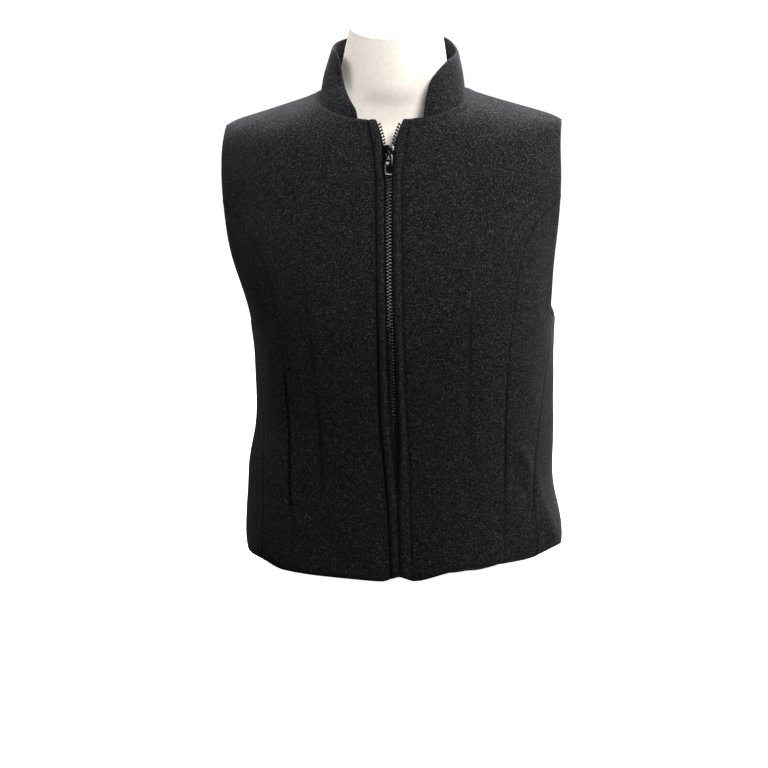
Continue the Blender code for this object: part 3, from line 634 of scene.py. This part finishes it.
# %% [markdown]
# ## Draping a panel
# All that shapes a skin is added up as one rise along its normals: the creases, which fade out near an
# edge, a slight unevenness, the rolled edge with the soft ridge behind it, the dent under the arm and, on
# a front, the groove with the swelling on both sides of it. The hem of one front also sags a little.

# %% Draping
Dent = namedtuple("Dent", "around height half_width half_height deep")
UNDERARM = Dent(224.0, 290.0, 20.0, 18.0, 2.6)
Sag = namedtuple("Sag", "x half_width top fade drop")
HEM_SAG = Sag(90.0, 22.0, 45.0, 25.0, 2.4)
Wave = namedtuple("Wave", "out half_width rise")
GROOVE_WAVES = (Wave(0.0, 1.6, -1.0), Wave(4.0, 6.0, -0.35), Wave(-6.0, 3.5, 0.35))
# width and strength of the painted shade in the groove
GROOVE_DARK_WIDTH = 2.0
GROOVE_DARKEST = 0.92
FULLY_DARK_DEPTH = 2.6
CREASES_END = 10.0
UNEVEN = 0.28
RIDGE_IN = 4.5
RIDGE_WIDTH = 2.6
ROLL_WIDTH = 2.4


def bell(off, half_width):
    return np.exp(-((off / half_width) ** 2))


def push(piece, rise):
    """Moves each point of a skin along its normal by a rise in millimetres."""
    write_points(piece, read_points(piece) + read_points(piece, "normal") * rise[:, None] * MM)


def drape(piece, groove, edges):
    """Creases, slight unevenness, rolled edges and, on a front, the groove beside the zip, with painted shade
    at edges, sewn creases and groove.
    """
    points = read_points(piece)
    around, height = cloth_places(points)
    tree = edge_tree(list(edges), points)
    nearest = [tree.find(point) for point in points]
    inside_edge = np.array([hit[2] for hit in nearest]) / MM
    roll, dark, wide, ridge = np.array([edges[hit[1]] for hit in nearest]).T
    rise, painted_shade = crease_rise(around, height)
    rise = (rise + UNEVEN * uneven(points)) * np.clip(inside_edge / CREASES_END, 0, 1)
    rise += ridge * bell(inside_edge - RIDGE_IN, RIDGE_WIDTH) - roll * bell(inside_edge, ROLL_WIDTH)
    under = bell(around - UNDERARM.around, UNDERARM.half_width)
    rise -= UNDERARM.deep * under * bell(height - UNDERARM.height, UNDERARM.half_height)
    # painted shade along the edges
    painted_shade = np.maximum(painted_shade, dark * bell(inside_edge, wide))
    if groove:
        side = "right" if points[:, 0].mean() < 0 else "left"
        off = np.abs(points[:, 0] / MM - zip_x(height)) - groove_out(side, height)
        for wave in GROOVE_WAVES:
            rise += groove * wave.rise * bell(off - wave.out, wave.half_width)
        # painted shade in the groove
        darkest = min(groove / FULLY_DARK_DEPTH, GROOVE_DARKEST)
        painted_shade = np.maximum(painted_shade, darkest * bell(off, GROOVE_DARK_WIDTH))
    push(piece, rise)
    points = read_points(piece)
    low = np.clip((HEM_SAG.top - height) / HEM_SAG.fade, 0, 1)
    sag = HEM_SAG.drop * bell(points[:, 0] / MM - HEM_SAG.x, HEM_SAG.half_width) * low
    points[:, 2] -= sag * np.where(points[:, 1] < 0, MM, 0.0)
    write_points(piece, points)
    # the painted shade is stored on the points for the wool finish
    piece.data.attributes.new("painted_shade", "FLOAT", "POINT").data.foreach_set("value", painted_shade)


print("groove", round(float(groove_out("right", 300)), 1), "mm from the zip")

# %% [markdown]
# ## The collar as worn
# A stand collar that is worn open is never even: here one front leans back from the neck and the other
# comes forward. Two columns of sizes, one for each front, say how far its edge is carried at each height,
# and the shift fades out towards the side. The foot of the collar is sewn in behind the neckline, so it is
# carried down there.

# %% Collar
Front = namedtuple("Front", "height turn right left")
COLLAR_FRONTS = (Front(538, 23, 3.0, 2.0), Front(548, 28, 0.5, 5.0), Front(556, 33, -4.0, 8.5),
                 Front(571, 41, -11.0, 14.0), Front(580, 46, -11.0, 16.5), Front(588, 52, -4.5, 16.5),
                 Front(596, 61, 2.0, 12.0), Front(603, 70, 5.0, 5.5), Front(612, 90, 5.0, 0.0))
COLLAR_FADE = 24.0
COLLAR_LIFT = 3.0
LIFT_TURNS = (45.0, 75.0)
LIFT_HEIGHTS = (565.0, 603.0)
FOOT_REACH = 4.0
FOOT_DOWN = 4.2
FOOT_FROM_MIDDLE = (44.0, 58.0)
FOOT_INWARD = (0.8, -1.4)
Top = namedtuple("Top", "turn rise spread")
COLLAR_TOPS = (Top(-68, 7.5, 12.0), Top(94, -8.0, 22.0))


def shape_collar(piece):
    """Carries the collar's two front edges to the middle or away from it, as worn, and lifts its back."""
    points = read_points(piece)
    middle = 0.5 * (points.min(axis=0) + points.max(axis=0))
    height = points[:, 2] / MM
    off = points - middle
    reach = np.hypot(off[:, 0], off[:, 1])
    turn = np.arctan2(off[:, 0], -off[:, 1])
    heights, turns, right_edge, left_edge = np.array(COLLAR_FRONTS).T
    inward = np.where(turn < 0, np.interp(height, heights, right_edge), np.interp(height, heights, left_edge))
    away = np.degrees(np.abs(turn))
    near = np.clip(1 - (away - np.interp(height, heights, turns)) / COLLAR_FADE, 0, 1)
    turn -= np.sign(turn) * near * inward * MM / reach
    points[:, 0] = middle[0] + reach * np.sin(turn)
    points[:, 1] = middle[1] - reach * np.cos(turn)
    lift = COLLAR_LIFT * np.interp(away, LIFT_TURNS, (0.0, 1.0))
    for top in COLLAR_TOPS:
        lift += top.rise * bell(np.degrees(turn) - top.turn, top.spread)
    points[:, 2] += lift * MM * np.interp(height, LIFT_HEIGHTS, (0.0, 1.0))
    write_points(piece, points)


def sink_collar(piece, edges):
    """Carries the foot of the collar down behind the neckline, where it is sewn in."""
    points = read_points(piece)
    tree = edge_tree([index for index in edges if edges[index] == SEAM], points)
    near = np.array([tree.find(point)[2] for point in points]) / MM
    weight = bell(near, FOOT_REACH)[:, None]
    inward = np.interp(np.abs(points[:, 0]) / MM, FOOT_FROM_MIDDLE, FOOT_INWARD)[:, None] * MM
    sunk = np.array([0.0, 0.0, -FOOT_DOWN * MM]) - read_points(piece, "normal") * inward
    write_points(piece, points + weight * sunk)


print("collar fronts", len(COLLAR_FRONTS), "heights")

# %% [markdown]
# ## The panels
# A maker cuts this vest in two fronts, two side fronts, a back and a stand collar, which is doubled and
# so a little thicker. Each is its own shell, and its row lists the size of the flat cloth that it was cut
# from. The fronts need finer faces, because their narrow seams and grooves show most. All skins are
# brought together at the seams before any of them gets its thickness.

# %% Panels
Panel = namedtuple("Panel", "name node seen_from levels groove flat area")
PANELS = (
    Panel("front_right_cloth", "front_right", (-0.06, -0.30, 0.30), 3, 2.4, (0.20, 0.57), 0.0852),
    Panel("front_left_cloth", "front_left", (0.06, -0.30, 0.30), 3, 1.2, (0.20, 0.57), 0.0852),
    Panel("side_front_right_cloth", "side_front_right", (-0.30, -0.18, 0.15), 3, 0.0, (0.085, 0.44), 0.0228),
    Panel("side_front_left_cloth", "side_front_left", (0.30, -0.18, 0.15), 3, 0.0, (0.085, 0.44), 0.0228),
    Panel("back_cloth", "back", (0.0, 0.30, 0.25), 2, 0.0, (0.57, 0.56), 0.2735),
    Panel("collar_cloth", "collar", (0.0, 0.30, 0.60), 3, 0.0, (0.40, 0.07), 0.0238),
)
CLOTH = 2.3
ROUNDING = 0.7
COLLAR_CLOTH = 3.1
skins = [skin_of(panel.node, panel.name, panel.seen_from, panel.levels) for panel in PANELS]
shape_collar(skins[-1])
edges = close_seams(skins)
for panel, piece in zip(PANELS, skins):
    drape(piece, panel.groove, edges[panel.name])
    if panel.node == "collar":
        sink_collar(piece, edges[panel.name])
    thicken(piece, COLLAR_CLOTH if panel.node == "collar" else CLOTH, ROUNDING)
    piece.data.materials.append(wool)
    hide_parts(panel.node)
    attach(piece, "vest_and_form")
    print(panel.name, triangles(piece), "triangles")

# %% [markdown]
# ## Pocket facings
# Behind each open length of the princess seam lies a strip of the same wool, which is all of the pocket
# that can be seen.

# %% Pocket facings
FACING_UNEVEN = 0.2
FACING_SET_IN = 1.6
FACING_CLOTH = 1.0
FACING_ROUNDING = 0.3
FACING_LEVELS = 2
FACING_SEEN_FROM = {"right": (-0.3, -0.3, 0.17), "left": (0.3, -0.3, 0.17)}
for side, seen_from in FACING_SEEN_FROM.items():
    facing = skin_of("pocket_facing_" + side, "pocket_facing_" + side + "_cloth", seen_from, FACING_LEVELS)
    push(facing, FACING_UNEVEN * uneven(read_points(facing)) - FACING_SET_IN)
    thicken(facing, FACING_CLOTH, FACING_ROUNDING)
    facing.data.materials.append(wool)
    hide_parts("pocket_facing_" + side)
    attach(facing, "vest_and_form")
    print(facing.name, triangles(facing), "triangles")

# %% [markdown]
# ## The zip's tape
# The tape is a tight herringbone of black yarn. Two waves along the tape, one leaning each way, make the
# herringbone without any picture. Its inner edge is carried in behind the closed teeth, so that nothing
# pale can be seen between them.

# %% Tape finish
def tape_finish():
    material, tree, shader = new_finish("black_tape")
    place = add_node(tree, "ShaderNodeTexCoord").outputs["Object"]
    apart = add_node(tree, "ShaderNodeSeparateXYZ")
    tree.links.new(place, apart.inputs["Vector"])
    lean = add_math(tree, "PINGPONG", apart.outputs["X"], 0.0016)
    climb = add_math(tree, "ADD", apart.outputs["Z"], lean)
    ribs = add_math(tree, "PINGPONG", climb, 0.0004)
    height = add_math(tree, "MULTIPLY", ribs, 2500.0)
    worn = add_noise(tree, place, 400.0, detail=2.0)
    tone = add_math(tree, "MULTIPLY", height, worn)
    colour = add_ramp(tree, tone, ((0.0, 0.0015), (0.35, 0.004), (0.8, 0.010)))
    tree.links.new(colour, shader.inputs["Base Color"])
    set_inputs(shader, {"Roughness": 0.72, "Specular IOR Level": 0.1, "Sheen Weight": 0.05})
    add_bump(tree, shader, height, 0.5, 0.0003)
    return material


tape = tape_finish()
print("finish", tape.name)

# %% Tapes
WALL_QUADS = math.radians(40)
TAPE_INNER = 0.5
TAPE_INNER_BEFORE = 9.5
TAPE_SPREADS_FROM = 497.0
TAPE_SPREAD = 0.45
TAPE_NARROW_TO = 515.0
TAPE_ROUNDING = 0.2
TAPE_TURN = 50.0


def close_behind_slider(strip):
    """Brings the inner edge of a tape in behind the teeth, up to where the slider parts them."""
    points = read_points(strip)
    height = points[:, 2] / MM
    off = points[:, 0] / MM - zip_x(height)
    wanted = TAPE_INNER + TAPE_SPREAD * np.clip(height - TAPE_SPREADS_FROM, 0, None)
    inner = (np.abs(off) < TAPE_INNER_BEFORE) & (height < TAPE_NARROW_TO)
    points[inner, 0] = (zip_x(height) + np.sign(off) * np.minimum(np.abs(off), wanted))[inner] * MM
    write_points(strip, points)


for side in ("right", "left"):
    strip = copy_of("zip_tape_" + side, "zip_tape_" + side + "_woven")
    close_behind_slider(strip)
    join_quads(strip, WALL_QUADS)
    soften(strip, TAPE_ROUNDING, TAPE_TURN)
    strip.data.materials.append(tape)
    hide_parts("zip_tape_" + side)
    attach(strip, "vest_and_form")
    print(strip.name, triangles(strip), "triangles")

# %% [markdown]
# ## The zip's teeth
# Moulded teeth sit in two rows and hook into each other by turns. One tooth is modelled from an
# eight-sided bar with one flat side to the front: a foot that grips the tape, a waist, and a wider head.
# It is then copied along the middle line of the solid zip, each copy turned the way that the zip runs.
# Towards the hem the zip lies deeper between the fronts, so the lower copies are set further in.

# %% Zip finish
def zip_finish(name, smooth, rough):
    material, tree, shader = new_finish(name)
    place = add_node(tree, "ShaderNodeTexCoord").outputs["Object"]
    rubbed = add_noise(tree, place, 900.0, detail=3.0)
    colour = add_ramp(tree, rubbed, ((0.35, 0.0015), (0.7, 0.004)))
    tree.links.new(colour, shader.inputs["Base Color"])
    dulled = add_ramp(tree, rubbed, ((0.3, smooth), (0.7, rough)))
    tree.links.new(dulled, shader.inputs["Roughness"])
    set_inputs(shader, {"Specular IOR Level": 0.6})
    add_bump(tree, shader, rubbed, 0.04, 0.0001)
    return material


moulded = zip_finish("moulded_black", 0.22, 0.34)
enamel = zip_finish("enamelled_black", 0.10, 0.15)
print("finishes", moulded.name, enamel.name)

# %% One tooth
TOOTH_BAR = 0.5
TOOTH_STRETCH = (1.6, 2.9, 2.0)
END_FACING = 0.9
Growth = namedtuple("Growth", "along wide thick")
HEAD = (Growth(0.5, 1.45, 1.0), Growth(0.9, 1.05, 1.0), Growth(0.45, 0.55, 0.75))
FOOT = (Growth(-0.7, 1.35, 0.92), Growth(-0.5, 0.9, 0.7))
bpy.ops.object.select_all(action="DESELECT")
bpy.ops.mesh.primitive_cylinder_add(vertices=8, radius=TOOTH_BAR, depth=1.0, rotation=(0, math.pi / 2, 0))
tooth = bpy.context.object
tooth.name = "one_tooth"
bpy.ops.object.transform_apply(location=False, rotation=True, scale=False)


def pick_end(piece, side):
    """Selects the end cap of a bar on one side along X, and goes on in edit mode."""
    pick_none(piece, "FACE")
    for face in piece.data.polygons:
        face.select = face.normal.x * side > END_FACING
    bpy.ops.object.mode_set(mode="EDIT")


def grow(distance, wide, thick):
    """Extrudes the picked end along X and scales it."""
    bpy.ops.mesh.extrude_region_move(TRANSFORM_OT_translate={"value": (distance, 0, 0)})
    bpy.ops.transform.resize(value=(1.0, thick, wide))


edit_all(tooth, bpy.ops.transform.rotate, value=math.pi / 8, orient_axis="X", center_override=(0, 0, 0))
edit_all(tooth, bpy.ops.transform.resize, value=TOOTH_STRETCH)
for side, growths in ((1, HEAD), (-1, FOOT)):
    pick_end(tooth, side)
    for growth in growths:
        grow(*growth)
    bpy.ops.object.mode_set(mode="OBJECT")
tooth_points = read_points(tooth)
tooth_faces = [tuple(face.vertices) for face in tooth.data.polygons]
tooth_points[:, 0] -= tooth_points[:, 0].max()
bpy.data.objects.remove(tooth)
print("one tooth", len(tooth_faces), "faces", np.ptp(tooth_points, axis=0).round(2), "mm")

# %% Copies along a line
LOOK_AHEAD = 2.0
SMOOTH_UP_TO = math.radians(40)


def along_line(middles, outward, pitch, start):
    """Places at an even pitch along a line, each with its upward and outward directions."""
    reach = np.concatenate([[0], np.cumsum(np.linalg.norm(np.diff(middles, axis=0), axis=1))])
    at = np.arange(start, reach[-1] - 0.5 * pitch, pitch)

    def read(rows, where):
        return np.stack([np.interp(where, reach, column) for column in rows.T], axis=-1)

    upward = read(middles, at + LOOK_AHEAD * MM) - read(middles, at - LOOK_AHEAD * MM)
    upward /= np.linalg.norm(upward, axis=1, keepdims=True)
    return read(middles, at), upward, read(outward, at)


def mesh_of(name, points, faces, finish):
    mesh = bpy.data.meshes.new(name)
    mesh.from_pydata([tuple(p) for p in points], [], faces)
    mesh.validate()
    piece = bpy.data.objects.new(name, mesh)
    bpy.context.scene.collection.objects.link(piece)
    mesh.materials.append(finish)
    edit_all(piece, bpy.ops.mesh.normals_make_consistent, inside=False)
    bpy.ops.object.shade_smooth_by_angle(angle=SMOOTH_UP_TO)
    return piece


def copies(shape, faces, frames):
    """All copies of a small shape, each set in a frame of (place, across, out, up)."""
    points = []
    numbered = []
    for place, across, out, up_zip in frames:
        first = len(points)
        turned = np.stack([across, out, up_zip])
        points.extend(place + MM * (shape @ turned))
        numbered.extend(tuple(first + k for k in face) for face in faces)
    return points, numbered

# %% Teeth along the zip
TOOTH_PITCH = 3.8
HOOK_OVERLAP = 0.85
CHAIN_START = 1.2
OPEN_HOOK = 1.6
OPEN_START = 1.4
TOOTH_SLANT = math.radians(14)
DEEP_HEIGHTS = (150.0, 290.0)
DEEP = (2.0, 0.0)


def tooth_frames(node, side, hook, start):
    """Frames of one row of teeth: the head points up to the middle and reaches a little past it."""
    middles, outward = strip_line(node)
    places, upward, out = along_line(middles, outward, TOOTH_PITCH * MM, start * MM)
    made = []
    for place, up_zip, face_out in zip(places, upward, out):
        level = np.cross(face_out, up_zip)
        inward = level if level[0] * side < 0 else -level
        across = inward * math.cos(TOOTH_SLANT) + up_zip * math.sin(TOOTH_SLANT)
        rising = np.cross(across, np.cross(up_zip, inward))
        deep = face_out * np.interp(place[2] / MM, DEEP_HEIGHTS, DEEP)
        made.append((place + (inward * hook - deep) * MM, across, np.cross(rising, across), rising))
    return made


closed_frames = tooth_frames("zip_chain", 1, HOOK_OVERLAP, CHAIN_START)
closed_frames += tooth_frames("zip_chain", -1, HOOK_OVERLAP, CHAIN_START + TOOTH_PITCH / 2)
chain = mesh_of("zip_chain_teeth", *copies(tooth_points, tooth_faces, closed_frames), moulded)
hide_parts("zip_chain")
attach(chain, "vest_and_form")
for side, sign in (("right", -1), ("left", 1)):
    open_frames = tooth_frames("zip_teeth_" + side, sign, OPEN_HOOK, OPEN_START)
    row = mesh_of("zip_teeth_" + side + "_row", *copies(tooth_points, tooth_faces, open_frames), moulded)
    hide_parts("zip_teeth_" + side)
    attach(row, "vest_and_form")
print("closed teeth", len(closed_frames), triangles(chain), "triangles")

# %% [markdown]
# ## Stitches
# A row of black stitches holds each front down beside the zip, and a short bar of close stitches keeps
# each end of a pocket from tearing. One stitch is a short thread whose two ends dive into the cloth. Each
# copy is set where a straight line from outside meets the finished cloth.

# %% Thread finish
def thread_finish():
    material, tree, shader = new_finish("black_thread")
    place = add_node(tree, "ShaderNodeTexCoord").outputs["Object"]
    twisted = add_noise(tree, place, 2200.0, detail=1.0, distortion=0.8)
    colour = add_ramp(tree, twisted, ((0.35, 0.0015), (0.65, 0.006)))
    tree.links.new(colour, shader.inputs["Base Color"])
    set_inputs(shader, {"Roughness": 0.8, "Specular IOR Level": 0.05})
    return material


thread = thread_finish()
print("finish", thread.name)

# %% One stitch
THREAD = 0.24
Bend = namedtuple("Bend", "along taper down")
STITCH_BENDS = (Bend(0.55, 0.85, 0.22), Bend(0.25, 0.6, 0.25))
bpy.ops.object.select_all(action="DESELECT")
bpy.ops.mesh.primitive_cylinder_add(vertices=6, radius=THREAD, depth=1.0, rotation=(0, math.pi / 2, 0))
stitch = bpy.context.object
stitch.name = "one_stitch"
bpy.ops.object.transform_apply(location=False, rotation=True, scale=False)
for side in (1, -1):
    pick_end(stitch, side)
    for bend in STITCH_BENDS:
        grow(bend.along * side, bend.taper, bend.taper)
        bpy.ops.transform.translate(value=(0, -bend.down, 0))
    bpy.ops.object.mode_set(mode="OBJECT")
stitch_points = read_points(stitch)
stitch_faces = [tuple(face.vertices) for face in stitch.data.polygons]
bpy.data.objects.remove(stitch)
print("one stitch", len(stitch_faces), "faces", np.ptp(stitch_points, axis=0).round(2), "mm")

# %% Rows and bars of stitches
STITCH_PITCH = 3.3
ROW_HEIGHTS = (26.0, 526.0)
ROW_SEEN_FROM = 0.3
BAR_PITCH = 0.8
BAR_STITCHES = 13
BAR_SEEN_FROM = 0.4
Bar = namedtuple("Bar", "around height")
BARS = {"right": (Bar(-123.5, 96.5), Bar(-126.0, 255.0)), "left": (Bar(122.5, 96.5), Bar(121.0, 255.0))}


def on_cloth(piece, start, heading):
    """Where a straight line from outside meets a piece, and the way out of the cloth there."""
    _, place, normal, _ = piece.ray_cast(Vector(start), Vector(heading))
    return np.array(place), np.array(normal)


def stitch_frame(place, normal, run):
    run = run / np.linalg.norm(run)
    out = normal - run * (normal @ run)
    out /= np.linalg.norm(out)
    return place, run, out, np.cross(run, out)


def row_frames(piece, side, sign):
    heights = np.arange(*ROW_HEIGHTS, STITCH_PITCH)
    lines = zip_x(heights) + sign * groove_out(side, heights)
    found = [on_cloth(piece, (x * MM, -ROW_SEEN_FROM, z * MM), (0, 1, 0)) for x, z in zip(lines, heights)]
    runs = np.gradient(np.array([place for place, _ in found]), axis=0)
    return [stitch_frame(place, normal, run) for (place, normal), run in zip(found, runs)]


def bar_frames(piece, bar):
    made = []
    for step in range(BAR_STITCHES):
        around = bar.around + BAR_PITCH * (step - 0.5 * (BAR_STITCHES - 1))
        turn = math.radians(np.interp(around, AROUND, TURNS))
        outward = np.array([math.sin(turn), -math.cos(turn), 0.0])
        start = BAR_SEEN_FROM * outward + np.array([0.0, 0.0, bar.height * MM])
        made.append(stitch_frame(*on_cloth(piece, start, -outward), np.array([0.0, 0.0, 1.0])))
    return made


bpy.context.view_layer.update()
for side, sign, front in (("right", -1, skins[0]), ("left", 1, skins[1])):
    frames = row_frames(front, side, sign)
    for bar in BARS[side]:
        frames += bar_frames(front, bar)
    sewn = mesh_of("stitches_" + side, *copies(stitch_points, stitch_faces, frames), thread)
    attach(sewn, "vest_and_form")
    print(sewn.name, len(frames), "stitches", triangles(sewn), "triangles")

# %% [markdown]
# ## The slider and its pull tab
# Both solids already have their true shape, with the window and the recess of the tab. Real moulded
# edges are never sharp, so each copy gets a small bevel that catches the light.

# %% Slider and pull tab
FLAT_QUADS = math.radians(5)
MOULDED_TURN = 35.0
for node, body, rounding in (("zip_slider", "vest_and_form", 0.3), ("zip_pull", "pull_tab", 0.25)):
    piece = copy_of(node, node + "_moulded")
    join_quads(piece, FLAT_QUADS)
    soften(piece, rounding, MOULDED_TURN)
    bpy.ops.object.shade_smooth_by_angle(angle=SMOOTH_UP_TO)
    piece.data.materials.append(enamel)
    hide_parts(node)
    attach(piece, body)
    print(piece.name, triangles(piece), "triangles")

# %% [markdown]
# ## The dress form
# The form is a smooth torso under a plain cream cover. Its solid is subdivided until it looks round, and
# the rims of the neck keep a small rounding.

# %% Linen finish
def linen_finish():
    material, tree, shader = new_finish("cream_linen")
    place = add_node(tree, "ShaderNodeTexCoord").outputs["Object"]
    apart = add_node(tree, "ShaderNodeSeparateXYZ")
    tree.links.new(place, apart.inputs["Vector"])
    warp = add_math(tree, "SINE", add_math(tree, "MULTIPLY", apart.outputs["X"], 5200.0), 0.0)
    weft = add_math(tree, "SINE", add_math(tree, "MULTIPLY", apart.outputs["Z"], 5200.0), 0.0)
    slubs = add_noise(tree, place, 180.0, detail=3.0)
    weave = add_math(tree, "ADD", add_math(tree, "MULTIPLY", warp, weft), slubs)
    tone = add_ramp(tree, slubs, ((0.3, (0.86, 0.785, 0.70)), (0.7, (0.92, 0.855, 0.775))))
    tree.links.new(tone, shader.inputs["Base Color"])
    set_inputs(shader, {"Roughness": 0.85, "Sheen Weight": 0.08})
    add_bump(tree, shader, weave, 0.12, 0.0002)
    return material


linen = linen_finish()
print("finish", linen.name)

# %% Dress form
NECK_RIM = 2.0
NECK_RIM_TURN = 35.0
FORM_LEVELS = 2
form = copy_of("dress_form", "dress_form_covered")
join_quads(form, WALL_QUADS)
soften(form, NECK_RIM, NECK_RIM_TURN)
refine(form, FORM_LEVELS)
bpy.ops.object.shade_smooth()
form.data.materials.append(linen)
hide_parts("dress_form")
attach(form, "vest_and_form")
print("form", triangles(form), "triangles")

# %% [markdown]
# ## The studio
# The picture has a plain white ground and soft light from above and from the viewer's right. The floor
# is pale and wide, and does not throw light back up on the cloth, as in a studio with a dark floor in
# front of the set. One lamp lights only what is glossy, so that the zip gleams as in the picture.

# %% Floor
def floor_finish():
    material, _, shader = new_finish("studio_white")
    set_inputs(shader, {"Base Color": (0.9, 0.9, 0.9, 1.0), "Roughness": 0.9,
                        "Emission Color": (1.0, 1.0, 1.0, 1.0), "Emission Strength": 1.0})
    return material


bpy.ops.object.select_all(action="DESELECT")
bpy.ops.mesh.primitive_circle_add(vertices=128, radius=8.0, fill_type="NGON")
floor = bpy.context.object
floor.name = "studio_floor"
floor.data.materials.append(floor_finish())
floor.visible_diffuse = False
floor.visible_glossy = False
print("floor", floor.name)

# %% World
world = bpy.data.worlds.new("studio_world")
bpy.context.scene.world = world
world.use_nodes = True
sky = world.node_tree
ambient = sky.nodes["Background"]
set_inputs(ambient, {"Color": (1.0, 1.0, 1.0, 1.0), "Strength": 0.02})
white = add_node(sky, "ShaderNodeBackground", {"Color": (1.0, 1.0, 1.0, 1.0), "Strength": 1.05})
seen = add_node(sky, "ShaderNodeLightPath")
chosen = add_node(sky, "ShaderNodeMixShader")
sky.links.new(seen.outputs["Is Camera Ray"], chosen.inputs["Fac"])
sky.links.new(ambient.outputs["Background"], chosen.inputs[1])
sky.links.new(white.outputs["Background"], chosen.inputs[2])
sky.links.new(chosen.outputs["Shader"], sky.nodes["World Output"].inputs["Surface"])
print("world", world.name)

# %% Lamps
Lamp = namedtuple("Lamp", "name place aim size power spread on_matt")
LAMPS = (
    Lamp("key_above_right", (0.9, -1.1, 1.7), (0.0, 0.0, 0.40), 0.9, 39.0, 180, True),
    Lamp("above_front", (0.15, -0.6, 1.75), (0.0, 0.0, 0.40), 0.9, 6.5, 180, True),
    Lamp("above_back", (0.2, 0.6, 1.7), (0.0, 0.0, 0.45), 0.9, 56.0, 180, True),
    Lamp("back_right", (1.0, 0.5, 1.45), (0.1, 0.0, 0.50), 0.7, 10.0, 180, True),
    Lamp("back_left", (-0.9, 0.45, 1.5), (-0.1, 0.0, 0.50), 0.7, 8.0, 180, True),
    Lamp("side_right", (1.6, -0.1, 0.9), (0.0, 0.0, 0.35), 0.8, 15.5, 180, True),
    Lamp("side_left", (-1.3, 0.0, 1.65), (0.0, 0.0, 0.55), 0.9, 0.95, 40, True),
    Lamp("zip_gleam", (0.10, -2.2, 0.68), (0.0, 0.0, 0.40), 0.93, 25.0, 180, False),
)
for lamp in LAMPS:
    bpy.ops.object.light_add(type="AREA", location=lamp.place)
    light = bpy.context.object
    light.name = lamp.name
    light.data.shape = "DISK"
    light.data.size = lamp.size
    light.data.energy = lamp.power
    light.data.spread = math.radians(lamp.spread)
    light.visible_diffuse = lamp.on_matt
    aim = Vector(lamp.aim) - Vector(lamp.place)
    light.rotation_euler = aim.to_track_quat("-Z", "Y").to_euler()
bpy.context.scene.view_settings.view_transform = "Standard"
print("lamps", len(LAMPS))
